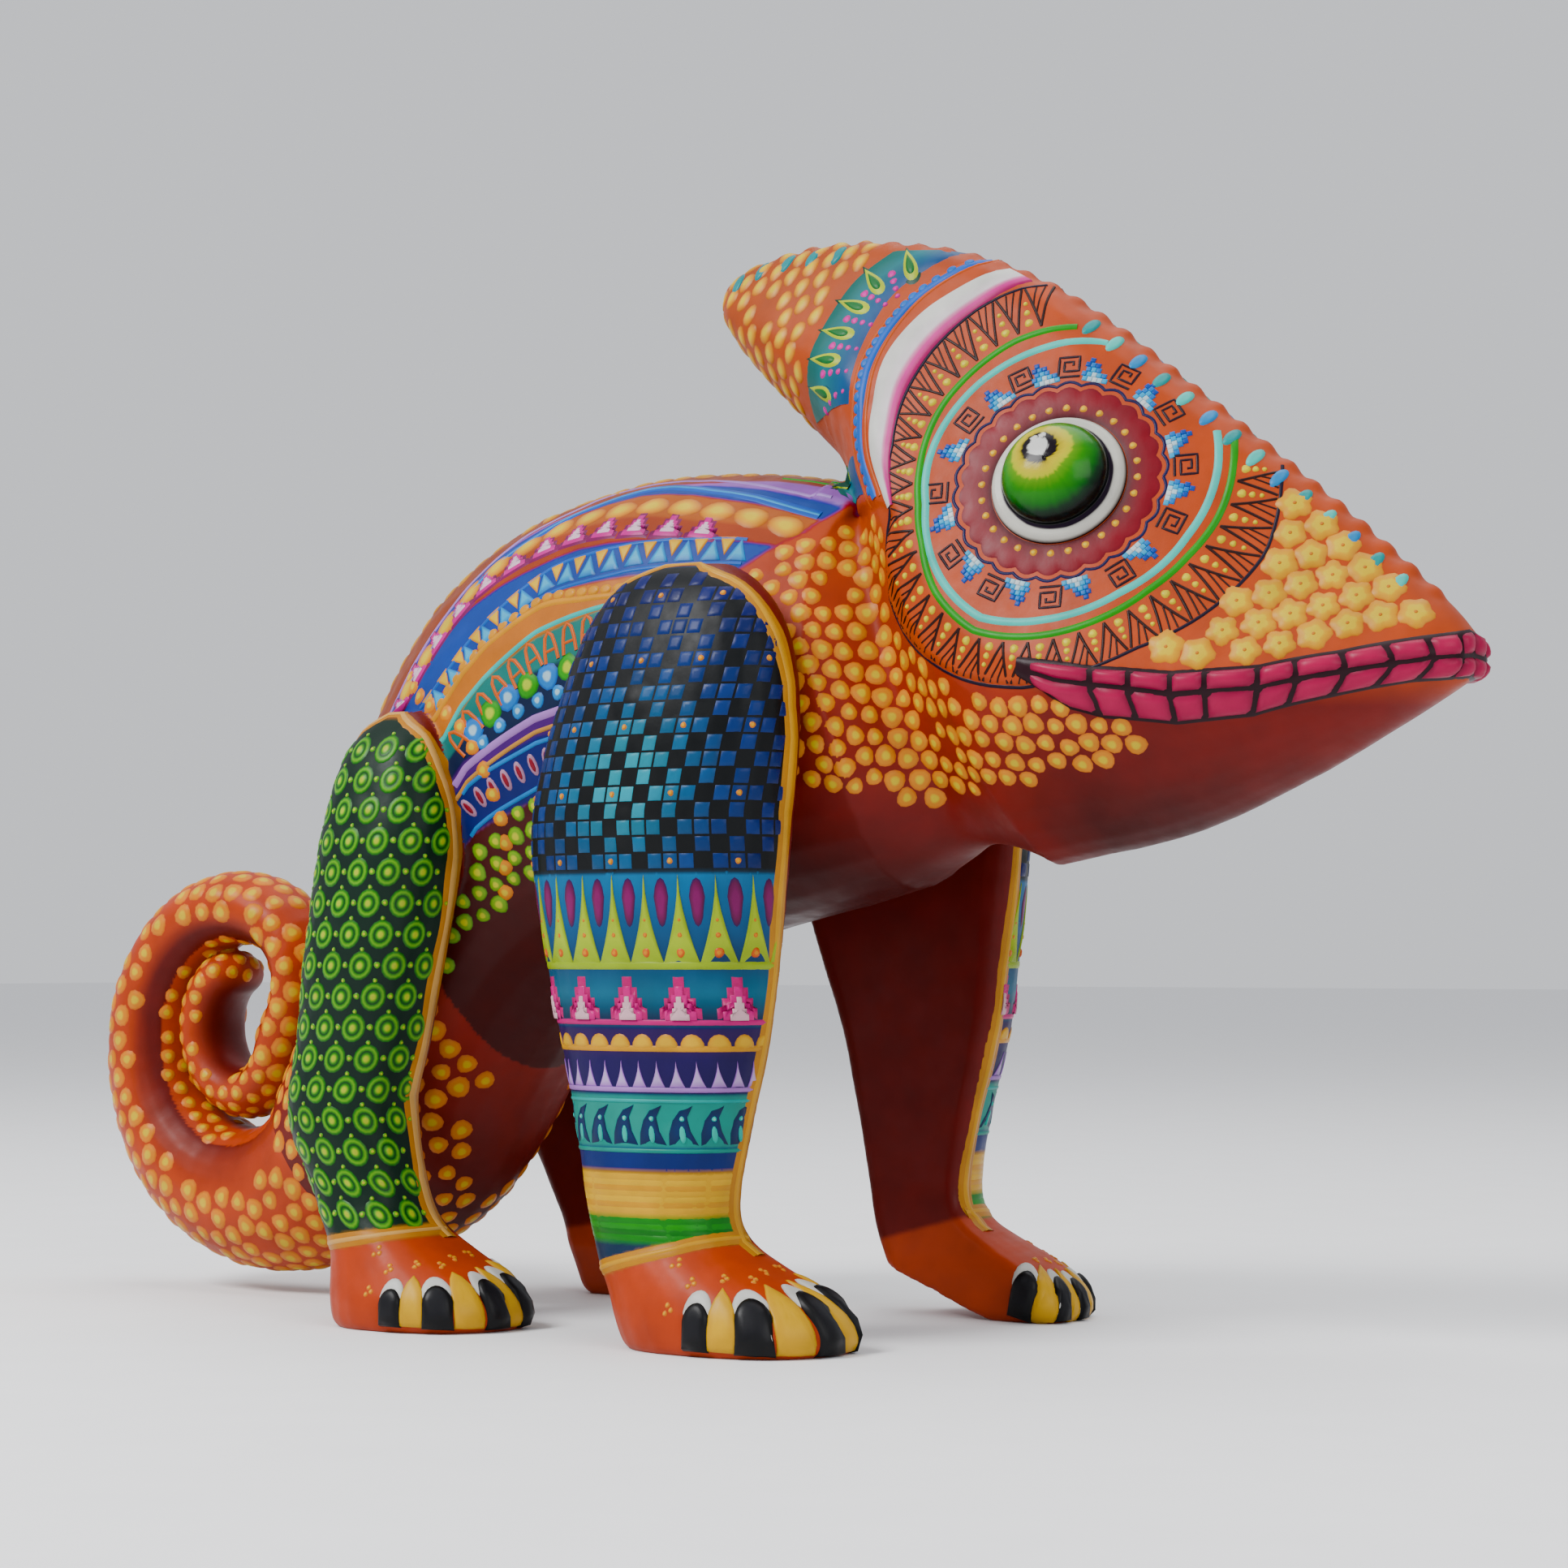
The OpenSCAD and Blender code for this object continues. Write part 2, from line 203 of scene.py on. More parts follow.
VOXEL = 0.6
FAIR_ROUNDS = 9
LAST_FAIR_ROUNDS = 3
FAIR_STEPS = (0.55, -0.56)  # a step in, then a step out, so that nothing shrinks
HEAL_REACH = 4.5  # radius of the skin stretched over each plug of filler
HEAL_SWELL = 0.5
HEAL_ROUNDS = 500
LEG_FACE = 31  # distance from the middle plane beyond which the skin is a leg's outer face
NECK_REACH = [(60, 14), (112, 15), (128, 11), (136, 4)]  # width of the filled groove at each height
NECK_REAR = 10
NECK_ROUNDS = 600
SOCKET_DISC = (11.4, -9.5, -0.3)  # radius of the eye's bed, and its levels along the eye's axis
BUMP_PITCH = 5.4
BUMP_RADII = (3.0, 2.6, 3.0)
BORE_WIDTH = 3.5  # a gap in the wood narrower than this is a bore
FLOOR_GAP = 0.01
LONG_RAY = 400
RAY_GAP = 0.05  # how far past a wall the next ray starts
PAINT_REACH = 3  # paint settles on skin no farther than this above or below it
STEEPEST = 0.2  # and not on skin that turns away from it more than this cosine
CHEEK_EDGE = 1.3  # width of the step up from neck to cheek, which is 1 mm high
CHEEK_FADE = 7
TOOL_MARKS = ((0.05, 0.22), (0.16, 0.07))  # waves to the millimetre, and their height
COAT = 0.12  # thickness of the ground coat


def linked(name, data):
    """Object in the scene"""
    thing = bpy.data.objects.new(name, data)
    bpy.context.scene.collection.objects.link(thing)
    return thing


def plain_object(name, points, faces):
    """Object from points in millimetres"""
    mesh = bpy.data.meshes.new(name)
    mesh.from_pydata((np.asarray(points, float) * MM).tolist(), [], [tuple(map(int, f)) for f in faces])
    return linked(name, mesh)


def vertex_array(mesh):
    """Points of a mesh in millimetres"""
    points = np.empty(len(mesh.vertices) * 3)
    mesh.vertices.foreach_get("co", points)
    return points.reshape(-1, 3) / MM


def mesh_arrays(thing):
    """Points in millimetres and triangles of an object's mesh"""
    mesh = thing.data
    mesh.calc_loop_triangles()
    corners = np.empty(len(mesh.loop_triangles) * 3, np.int32)
    mesh.loop_triangles.foreach_get("vertices", corners)
    return vertex_array(mesh), corners.reshape(-1, 3)


def ball(middle, radii, rings=8, turns=12):
    """Points and triangles of an ellipsoid"""
    points = [middle + np.array([0, 0, radii[2]])]
    for i in range(1, rings):
        tip = math.pi * i / rings
        for j in range(turns):
            turn = 2 * math.pi * j / turns
            flat = math.sin(tip)
            points.append(middle + np.array([radii[0] * flat * math.cos(turn),
                                             radii[1] * flat * math.sin(turn),
                                             radii[2] * math.cos(tip)]))
    points.append(middle - np.array([0, 0, radii[2]]))
    last = len(points) - 1
    faces = []
    for j in range(turns):
        k = (j + 1) % turns
        faces.append((0, 1 + j, 1 + k))
        faces.append((last, last - turns + k, last - turns + j))
        for i in range(rings - 2):
            a, b = 1 + i * turns, 1 + (i + 1) * turns
            faces.append((a + j, b + j, b + k))
            faces.append((a + j, b + k, a + k))
    return np.array(points), np.array(faces)


def eye_axes(side):
    """Middle, forward, up and outward directions of the eye on one side"""
    out = np.array([math.sin(EYE_TURN) * math.cos(EYE_TIP),
                    -math.cos(EYE_TURN) * math.cos(EYE_TIP), math.sin(EYE_TIP)])
    forward = np.array([math.cos(EYE_TURN), math.sin(EYE_TURN), 0])
    up = np.cross(out, forward)
    up = up if up[2] > 0 else -up
    mirror = np.array([1, -side, 1])
    return EYE_PLACE * mirror, forward * mirror, up * mirror, out * mirror


def disc_plug(side, radius, low, high, turns=40):
    """Short cylinder that closes the eye's socket under the painted button"""
    middle, forward, up, out = eye_axes(side)
    ring = [radius * (math.cos(t) * forward + math.sin(t) * up) for t in turns_round(turns)]
    points = [middle + out * level + r for level in (low, high) for r in ring]
    points += [middle + out * low, middle + out * high]
    faces = []
    for j in range(turns):
        k = (j + 1) % turns
        faces.append((j, k, turns + k))
        faces.append((j, turns + k, turns + j))
        faces.append((k, j, 2 * turns))
        faces.append((turns + j, turns + k, 2 * turns + 1))
    return np.array(points), np.array(faces)


def ridge_bumps():
    """Row of small carved scallops along the head's ridge"""
    line = curve(HEAD_RIDGE, 400)
    lengths = distances(line)
    margin = BUMP_RADII[0]
    bumps = []
    for at in np.arange(margin, lengths[-1] - margin, BUMP_PITCH):
        x, z = (np.interp(at, lengths, line[:, k]) for k in (0, 1))
        bumps.append(ball(np.array([x - 0.2 * margin, 0, z - 0.8 * margin]), BUMP_RADII))
    return bumps


def melted(parts):
    """One smooth closed mesh round overlapping solids"""
    points, faces, count = [], [], 0
    for part_points, part_faces in parts:
        points.append(part_points)
        faces.append(part_faces + count)
        count += len(part_points)
    thing = plain_object("melt", np.vstack(points), np.vstack(faces))
    change = thing.modifiers.new("melt", "REMESH")
    change.mode = "VOXEL"
    change.voxel_size = VOXEL * MM
    depsgraph = bpy.context.evaluated_depsgraph_get()
    result = bpy.data.meshes.new_from_object(thing.evaluated_get(depsgraph))
    bpy.data.meshes.remove(thing.data)
    return result


def face_array(mesh):
    """Corners of each face as an array, four to a row"""
    corners = np.empty(len(mesh.loops), np.int32)
    mesh.loops.foreach_get("vertex_index", corners)
    return corners.reshape(-1, 4)


def vertex_normals(points, faces):
    """Normal at each point of a mesh of four-sided faces"""
    across = np.cross(points[faces[:, 2]] - points[faces[:, 0]], points[faces[:, 3]] - points[faces[:, 1]])
    total = np.zeros_like(points)
    for corner in range(4):
        for k in range(3):
            total[:, k] += np.bincount(faces[:, corner], across[:, k], len(points))
    return unit_rows(total)


def edge_pairs(faces):
    """Both ends of each side of four-sided faces"""
    return np.vstack([faces[:, [0, 1]], faces[:, [1, 2]], faces[:, [2, 3]], faces[:, [3, 0]]])


def neighbour_means(points, pairs):
    """Mean of the neighbours of each point"""
    count = np.bincount(pairs[:, 0], minlength=len(points))
    total = np.stack([np.bincount(pairs[:, 0], points[pairs[:, 1], k], len(points))
                      for k in range(3)], axis=1)
    return total / count[:, None]


def faired(points, faces, rounds):
    """Points smoothed without shrinking"""
    pairs = edge_pairs(faces)
    for _ in range(rounds):
        for share in FAIR_STEPS:
            points = points + share * (neighbour_means(points, pairs) - points)
    return points


def outline_depth(spots, outline):
    """Distance of 2D spots inside a closed outline, negative outside"""
    corners = np.array(outline, float)
    best = np.full(len(spots), 1e9)
    inside = np.zeros(len(spots), bool)
    for a, b in zip(corners, np.roll(corners, -1, axis=0)):
        edge = b - a
        share = np.clip(((spots - a) @ edge) / (edge @ edge), 0, 1)
        best = np.minimum(best, np.linalg.norm(spots - a - share[:, None] * edge, axis=1))
        if a[1] != b[1]:
            crosses = ((a[1] > spots[:, 1]) != (b[1] > spots[:, 1]))
            meets = a[0] + (spots[:, 1] - a[1]) / (b[1] - a[1]) * edge[0]
            inside ^= crosses & (spots[:, 0] < meets)
    return np.where(inside, best, -best)


def eye_plane(points, side):
    """Where points lie in the plane of the eye on one side: forwards, up"""
    middle, forward, up, _ = eye_axes(side)
    return np.stack([(points - middle) @ forward, (points - middle) @ up], axis=1)


def cheek_depth(points, side):
    """How far points are inside the head's outline, seen along the eye's axis"""
    return outline_depth(eye_plane(points, side), HEAD_OUTLINE)


def carve(points, normals):
    """Raises the cheek's edge over the neck, and leaves the faint unevenness of hand carving"""
    rise = np.full(len(points), COAT)
    for side in SIDES.values():
        here = np.sign(points[:, 1]) == side
        near = here & (points[:, 0] > 30)
        depth = cheek_depth(points[near], side)
        rise[near] += np.clip(depth / CHEEK_EDGE, 0, 1) * np.exp(-np.maximum(depth, 0) / CHEEK_FADE)
    for scale, size in TOOL_MARKS:
        rise += size * np.array([noise.noise(Vector(p) * scale) for p in points])
    return points + normals * rise[:, None]


def plug_middles(points):
    """Middles of the two round plugs in a filler node"""
    split = points[:, 2] > points[:, 2].mean()
    return [points[split].mean(axis=0), points[~split].mean(axis=0)]


class Skin:
    """The carved surface: finds places on it and knows which part each face belongs to"""

    def __init__(self):
        parts = [mesh_arrays(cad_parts[name]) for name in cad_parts
                 if not name.startswith(("eye", "nails"))]
        parts += [disc_plug(side, *SOCKET_DISC) for side in SIDES.values()]
        parts += ridge_bumps()
        mesh = melted(parts)
        self.faces = face_array(mesh)
        points = faired(vertex_array(mesh), self.faces, FAIR_ROUNDS)
        bpy.data.meshes.remove(mesh)
        points = self.filled_neck(self.healed(points))
        points = faired(points, self.faces, LAST_FAIR_ROUNDS)
        points = carve(points, vertex_normals(points, self.faces))
        points[:, 2] = np.maximum(points[:, 2], FLOOR_GAP)
        self.points = points
        self.normals = vertex_normals(points, self.faces)
        self.soft = unit_rows(self.normals[self.faces].mean(axis=1))
        self.tree = BVHTree.FromPolygons(points.tolist(), self.faces.tolist())
        self.middles = points[self.faces].mean(axis=1)
        self.owner = self.owners()

    def healed(self, points):
        """Stretches the skin flat over the plugs of filler, as if they were sanded flush"""
        near = np.zeros(len(points), bool)
        swell = np.zeros(len(points))
        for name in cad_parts:
            if not name.startswith("filler"):
                continue
            plug_points, _ = mesh_arrays(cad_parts[name])
            for middle in plug_middles(plug_points):
                side = np.sign(middle[1])
                gap = np.hypot(points[:, 0] - middle[0], points[:, 2] - middle[2])
                here = (gap < HEAL_REACH) & (points[:, 1] * side > LEG_FACE)
                near |= here
                swell[here] = side * HEAL_SWELL * (1 - (gap[here] / HEAL_REACH) ** 2) ** 2
        points = self.stretched(points, near, HEAL_ROUNDS)
        points[:, 1] += swell
        return points

    def filled_neck(self, points):
        """Fills the groove where the head meets the shoulders, below the nape"""
        x, _, z = points.T
        lowest, highest = NECK_REACH[0][0], NECK_REACH[-1][0]
        chosen = np.nonzero((x > NECK_REAR) & (z > lowest) & (z < highest))[0]
        gaps = []
        for name in ("head", "torso"):
            part_points, part_faces = mesh_arrays(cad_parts[name])
            tree = BVHTree.FromPolygons(part_points.tolist(), part_faces.tolist())
            gap = np.full(len(points), np.inf)
            for i in chosen:
                gap[i] = tree.find_nearest(Vector(points[i]))[3]
            gaps.append(gap)
        return self.stretched(points, np.maximum(*gaps) < read_off(NECK_REACH, z), NECK_ROUNDS)

    def stretched(self, points, near, rounds):
        """Lets the chosen points settle like a film between the others"""
        chosen = near[self.faces].any(axis=1)
        faces = self.faces[chosen]
        used, local = np.unique(edge_pairs(faces), return_inverse=True)
        local = local.reshape(-1, 2)
        film = points[used]
        free = near[used]
        for _ in range(rounds):
            film[free] += 0.9 * (neighbour_means(film, local) - film)[free]
        points[used] = film
        return points

    def owners(self):
        """Name of the CAD part nearest to each face"""
        names, points, faces, count = [], [], [], 0
        for name in ("torso", "head", "tail") + LEGS:
            part_points, part_faces = mesh_arrays(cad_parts[name])
            points.append(part_points)
            faces.append(part_faces + count)
            names += [name] * len(part_faces)
            count += len(part_points)
        tree = BVHTree.FromPolygons(np.vstack(points).tolist(), np.vstack(faces).tolist())
        return np.array([names[tree.find_nearest(Vector(p))[2]] for p in self.middles])

    def ray(self, start, along, reach=LONG_RAY):
        """First place that a ray meets: point, soft normal and face, or None"""
        place, _, face, _ = self.tree.ray_cast(Vector(start), Vector(along), reach)
        if place is None:
            return None
        return np.array(place), self.soft[face], face

    def way_out(self, start, along, reach=LONG_RAY):
        """Place where a ray from inside the wood leaves it, past any narrow bore"""
        hit = self.ray(start, along, reach)
        while hit is not None:
            far_wall = self.ray(hit[0] + along * RAY_GAP, along, BORE_WIDTH)
            if far_wall is None:
                return hit
            hit = self.ray(far_wall[0] + along * RAY_GAP, along, reach)
        return None

    def nearest(self, point):
        """Place on the skin nearest to a point"""
        place, _, face, _ = self.tree.find_nearest(Vector(point))
        return np.array(place), self.soft[face], face

    def lay(self, point, normal, height):
        """Place on the skin under a point, raised by a height"""
        hit = self.ray(point + normal * PAINT_REACH, -normal, 2 * PAINT_REACH + 1)
        if hit is None or hit[1] @ normal < STEEPEST:
            hit = self.nearest(point)
        return hit[0] + hit[1] * height


skin = Skin()

# ---------------------------------------------------------------- materials

# What the viewer's tone curve takes from strong colours, the paint gives back
PAINT_SATURATION = 1.32
PAINT_VALUE = (0.38, 0.52)


def new_material(name):
    """Material with its node tree and its shader"""
    material = bpy.data.materials.new(name)
    material.use_nodes = True
    tree = material.node_tree
    return material, tree, tree.nodes["Principled BSDF"]


def value_noise(tree, scale, detail, stretch=None):
    """Noise texture in the object's own coordinates, which may be stretched into streaks"""
    place = tree.nodes.new("ShaderNodeTexCoord")
    texture = tree.nodes.new("ShaderNodeTexNoise")
    texture.inputs["Scale"].default_value = scale
    texture.inputs["Detail"].default_value = detail
    if stretch is None:
        tree.links.new(place.outputs["Object"], texture.inputs["Vector"])
    else:
        mapping = tree.nodes.new("ShaderNodeMapping")
        mapping.inputs["Scale"].default_value = stretch
        tree.links.new(place.outputs["Object"], mapping.inputs["Vector"])
        tree.links.new(mapping.outputs["Vector"], texture.inputs["Vector"])
    return texture.outputs["Fac"]


def spread(tree, source, low, high):
    """Maps a 0 to 1 value to a range"""
    node = tree.nodes.new("ShaderNodeMapRange")
    node.inputs["From Min"].default_value = 0.25
    node.inputs["From Max"].default_value = 0.75
    node.inputs["To Min"].default_value = low
    node.inputs["To Max"].default_value = high
    tree.links.new(source, node.inputs["Value"])
    return node.outputs["Result"]


def add_bump(tree, shader, layers):
    """Chains bump nodes: (height source, strength, depth in millimetres)"""
    normal = None
    for source, strength, depth in layers:
        bump = tree.nodes.new("ShaderNodeBump")
        bump.inputs["Strength"].default_value = strength
        bump.inputs["Distance"].default_value = depth * MM
        tree.links.new(source, bump.inputs["Height"])
        if normal is not None:
            tree.links.new(normal, bump.inputs["Normal"])
        normal = bump.outputs["Normal"]
    tree.links.new(normal, shader.inputs["Normal"])


def paint_material(name, gloss, streaks):
    """Brushed acrylic paint under a thin varnish, coloured by the mesh's own paint layer"""
    material, tree, shader = new_material(name)
    layer = tree.nodes.new("ShaderNodeAttribute")
    layer.attribute_name = "paint"
    tone = tree.nodes.new("ShaderNodeHueSaturation")
    tree.links.new(layer.outputs["Color"], tone.inputs["Color"])
    tone.inputs["Saturation"].default_value = PAINT_SATURATION
    cloud = value_noise(tree, 160, 4.0)
    bristle = value_noise(tree, 420, 3.0, streaks)
    pores = value_noise(tree, 1500, 2.0)
    tree.links.new(spread(tree, cloud, *PAINT_VALUE), tone.inputs["Value"])
    tree.links.new(tone.outputs["Color"], shader.inputs["Base Color"])
    tree.links.new(spread(tree, bristle, gloss, gloss + 0.16), shader.inputs["Roughness"])
    shader.inputs["Specular IOR Level"].default_value = 0.13
    shader.inputs["Coat Weight"].default_value = 0.03
    shader.inputs["Coat Roughness"].default_value = 0.3
    add_bump(tree, shader, [(bristle, 0.35, 0.12), (pores, 0.2, 0.05)])
    return material


def blend_colours(tree, shader, source, first, second):
    """Base colour that runs between two as a value goes from 0 to 1"""
    blend = tree.nodes.new("ShaderNodeMix")
    blend.data_type = "RGBA"
    blend.inputs["A"].default_value = (*first, 1)
    blend.inputs["B"].default_value = (*second, 1)
    tree.links.new(source, blend.inputs["Factor"])
    tree.links.new(blend.outputs["Result"], shader.inputs["Base Color"])


def wood_material(name, light, dark):
    """Bare copal wood with fine straight grain"""
    material, tree, shader = new_material(name)
    grain = value_noise(tree, 900, 5.0, (0.06, 1.0, 1.0))
    blend_colours(tree, shader, spread(tree, grain, 0.0, 1.0), light, dark)
    shader.inputs["Roughness"].default_value = 0.62
    add_bump(tree, shader, [(grain, 0.3, 0.1)])
    return material


def steel_material():
    """Bright drawn wire"""
    material, tree, shader = new_material("nail_steel")
    scratches = value_noise(tree, 1200, 2.0, (1.0, 0.1, 1.0))
    shader.inputs["Base Color"].default_value = (0.56, 0.57, 0.58, 1)
    shader.inputs["Metallic"].default_value = 1.0
    tree.links.new(spread(tree, scratches, 0.28, 0.48), shader.inputs["Roughness"])
    return material


CARVED = paint_material("carved_paint", 0.38, (1.0, 0.35, 1.0))
RAISED = paint_material("raised_paint", 0.32, (1.0, 1.0, 0.4))
VARNISH = paint_material("eye_varnish", 0.12, (1.0, 1.0, 1.0))
COPAL = wood_material("copal", shade("D8B888"), shade("B08A58"))
FILLER = wood_material("filler", shade("C8A878"), shade("B89464"))
STEEL = steel_material()

# ---------------------------------------------------------------- meshes


def make_piece(name, points, faces, colours, material, slot, body="figure", normals=None):
    """Object from points in millimetres, with a paint colour at each point"""
    thing = plain_object(name, points, faces)
    mesh = thing.data
    layer = mesh.attributes.new("paint", "FLOAT_COLOR", "POINT")
    full = np.ones((len(points), 4), np.float32)
    full[:, :3] = colours
    layer.data.foreach_set("color", full.ravel())
    mesh.polygons.foreach_set("use_smooth", np.ones(len(mesh.polygons), bool))
    if normals is not None:
        mesh.normals_split_custom_set_from_vertices(np.asarray(normals).tolist())
    mesh.materials.append(material)
    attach(thing, body)
    return thing


class Paint:
    """Collects strokes and dabs of raised paint, all in one mesh"""

    def __init__(self, name, slot, body="figure"):
        self.name, self.slot, self.body = name, slot, body
        self.points, self.faces, self.colours = [], [], []

    def sheet(self, rows, colours, closed=False):
        """Grid of points. Rows have equal lengths, and a closed grid joins its ends."""
        start = len(self.points)
        width = len(rows[0])
        for row, row_colours in zip(rows, colours):
            self.points += list(row)
            self.colours += list(row_colours)
        for i in range(len(rows) - 1):
            for j in range(width if closed else width - 1):
                k = (j + 1) % width
                a, b = start + i * width, start + (i + 1) * width
                self.faces.append((a + j, a + k, b + k, b + j))

    def blob(self, place, along, outline, layers):
        """Dab of paint. The outline is in millimetres about the place, and each layer is
        (share of the outline, height, colour), from the rim to the middle."""
        point, normal = place
        across, up = surface_axes(normal, along)
        rows = []
        for share, height, _ in layers:
            rows.append([skin.lay(point + across * x * share + up * y * share, normal, height)
                         for x, y in outline])
        self.dab(rows, layers)

    def dab(self, rows, layers):
        """Closed rings of points from the rim inwards, one to a layer, filled in at the middle"""
        count = len(rows[0])
        self.sheet(rows, [[colour] * count for _, _, colour in layers], closed=True)
        middle = len(self.points)
        self.points.append(np.mean(rows[-1], axis=0))
        self.colours.append(layers[-1][2])
        for j in range(count):
            self.faces.append((middle - count + j, middle - count + (j + 1) % count, middle))

    def stroke(self, path, width, colour, height):
        """Brush line along places on the skin. Width and colour may be functions of 0 to 1."""
        places = [p for p in path if p is not None]
        if len(places) < 2:
            return
        profile = ((-1, -0.08), (-0.75, 0.7), (0, 1.0), (0.75, 0.7), (1, -0.08))
        rows, colours = [[] for _ in profile], [[] for _ in profile]
        for i, (point, normal) in enumerate(places):
            share = i / (len(places) - 1)
            ahead = places[min(i + 1, len(places) - 1)][0] - places[max(i - 1, 0)][0]
            side = np.cross(normal, ahead)
            side /= max(np.linalg.norm(side), 1e-9)
            half = (width(share) if callable(width) else width) / 2
            tone = colour(share) if callable(colour) else colour
            for j, (out, lift) in enumerate(profile):
                rows[j].append(skin.lay(point + side * out * half, normal, height * lift))
                colours[j].append(tone)
        self.sheet(rows, colours)

    def done(self):
        """Makes the object, with no paint below the floor"""
        points = np.array(self.points)
        points[:, 2] = np.maximum(points[:, 2], FLOOR_GAP)
        make_piece(self.name, points, self.faces, np.array(self.colours), RAISED, self.slot, self.body)


def surface_axes(normal, along):
    """Two directions in the skin, the first one nearest to a wanted direction"""
    across = np.asarray(along, float) - normal * (normal @ along)
    across /= max(np.linalg.norm(across), 1e-9)
    return across, np.cross(normal, across)


def circle(radius_x, radius_y=None, count=12, wobble=0.0):
    """Outline of an ellipse, which may be uneven as a brush leaves it"""
    radius_y = radius_x if radius_y is None else radius_y
    start = random.uniform(0, 2 * math.pi)
    points = []
    for k in range(count):
        turn = 2 * math.pi * k / count
        out = 1 + wobble * math.sin(3 * turn + start) + wobble * random.uniform(-0.5, 0.5)
        points.append((radius_x * out * math.cos(turn), radius_y * out * math.sin(turn)))
    return points


def teardrop(length, width, count=18):
    """Outline with a round end at the back and a point at the front"""
    points = []
    for k in range(count):
        turn = 2 * math.pi * k / count
        pinch = math.sin(turn / 2) ** 1.3
        points.append((length / 2 * math.cos(turn), width / 2 * math.sin(turn) * pinch))
    return points


def polygon(corners, steps=3):
    """Outline of straight edges, with extra points so that it can follow the skin"""
    points = []
    for (ax, ay), (bx, by) in zip(corners, corners[1:] + corners[:1]):
        for k in range(steps):
            points.append((ax + (bx - ax) * k / steps, ay + (by - ay) * k / steps))
    return points


def flat_dab(colour, height):
    """Layers of one plain colour"""
    return [(1.0, -0.06, colour), (0.88, height * 0.8, colour), (0.4, height, colour)]


SCATTER_TRIES = 16000


def scatter(keep, gap):
    """Closely packed places on the skin, each one laid against two that are there already"""
    chosen = np.nonzero(keep)[0]
    picks = chosen[np.random.default_rng(5).permutation(len(chosen))[:SCATTER_TRIES]]
    spots = skin.middles[picks]
    gaps = gap(spots) if callable(gap) else np.full(len(spots), gap)
    first = np.full(len(spots), 1e3)
    second = np.full(len(spots), 1e3)
    taken = []
    current = 0
    while True:
        taken.append(current)
        away = np.linalg.norm(spots - spots[current], axis=1)
        second = np.minimum(second, np.maximum(first, away))
        first = np.minimum(first, away)
        free = first >= gaps
        if not free.any():
            break
        score = np.where(free, (first + second) / gaps, 1e9)
        current = int(np.argmin(score))
    return [(skin.middles[picks[i]], skin.soft[picks[i]], picks[i]) for i in taken]


# ---------------------------------------------------------------- charts of the painted fields


def body_axis(along):
    """Middle of the body and direction to its ridge, as x and z, at places along it"""
    steps = range(len(BODY_LINES))
    rows = np.stack([np.interp(along, steps, column) for column in zip(*BODY_LINES)], axis=-1)
    ridge, keel = rows[..., :2], rows[..., 2:]
    middle = ridge + (keel - ridge) * BODY_MIDDLE
    up = ridge - middle
    return middle, up / np.linalg.norm(up, axis=-1, keepdims=True)


def body_chart(points):
    """Place along the body, 0 at the tail to 11 at the chest, and angle down from the ridge"""
    spots = points[:, [0, 2]]
    sides = []
    for ridge_x, ridge_z, keel_x, keel_z in BODY_LINES:
        down = np.array([keel_x - ridge_x, keel_z - ridge_z])
        down /= np.linalg.norm(down)
        sides.append((spots - (ridge_x, ridge_z)) @ np.array([-down[1], down[0]]))
    last = len(BODY_LINES) - 1
    along = np.where(sides[0] < 0, -0.5, last + 0.5)
    for i in range(last):
        between = (sides[i] >= 0) & (sides[i + 1] < 0)
        along = np.where(between, i + sides[i] / np.maximum(sides[i] - sides[i + 1], 1e-9), along)
    middle, up = body_axis(np.clip(along, 0, last))
    height = ((spots - middle) * up).sum(axis=1)
    return along, np.degrees(np.arctan2(np.abs(points[:, 1]), height))


def body_place(along, angle, side):
    """Place on the skin from the body's chart"""
    middle, up = body_axis(along)
    turn = math.radians(angle)
    ray = np.array([up[0] * math.cos(turn), side * math.sin(turn), up[1] * math.cos(turn)])
    hit = skin.way_out(np.array([middle[0], 0, middle[1]]), ray)
    if hit is None or skin.owner[hit[2]] != "torso":
        return None
    return hit[:2]


EYE_VIEW = 60  # distance from which the eye's plane is seen
EYE_STEEPEST = 0.15
CROSSING = 0.5  # how far a line on one side of the head may cross the middle


def eye_place(a, b, side):
    """Place on the skin under a point of the eye's own plane"""
    middle, forward, up, out = eye_axes(side)
    hit = skin.ray(middle + forward * a + up * b + out * EYE_VIEW, -out)
    if hit is None or hit[1] @ out < EYE_STEEPEST or hit[0][1] * side < -CROSSING:
        return None
    return hit[:2]


def eye_ring(turn, radius, side):
    """Place on the skin at an angle and radius about the eye"""
    swing = math.radians(turn)
    return eye_place(radius * math.cos(swing), radius * math.sin(swing), side)


# Where the painted outer face of a leg ends: height, distance from the middle plane
LEG_BORDER = {
    "front": [(16, 32.6), (90, 33.2), (108, 34.2), (118, 35.6), (127, 36.5)],
    "hind": [(16, 32.4), (75, 33), (90, 34), (98, 35.2), (105, 36)],
}
# Line up the middle of each leg: height, x
LEG_AXIS = {
    "front": [(0, 30.4), (9, 26.4), (17, 17.4), (35, 15.9), (63, 15.4), (86, 15.4), (106, 18.9),
              (114, 19.9), (127, 20.6)],
    "hind": [(0, -34.3), (13, -40.6), (25, -48.3), (39, -51.6), (60, -47.1), (80, -43.6),
             (97, -42.6), (105, -42.6)],
}


def shifted(rows, reach):
    """Copies of rows, each moved along by up to reach either way"""
    padded = np.pad(rows, ((reach, reach), (0, 0)), mode="edge")
    return [padded[k:k + len(rows)] for k in range(2 * reach + 1)]


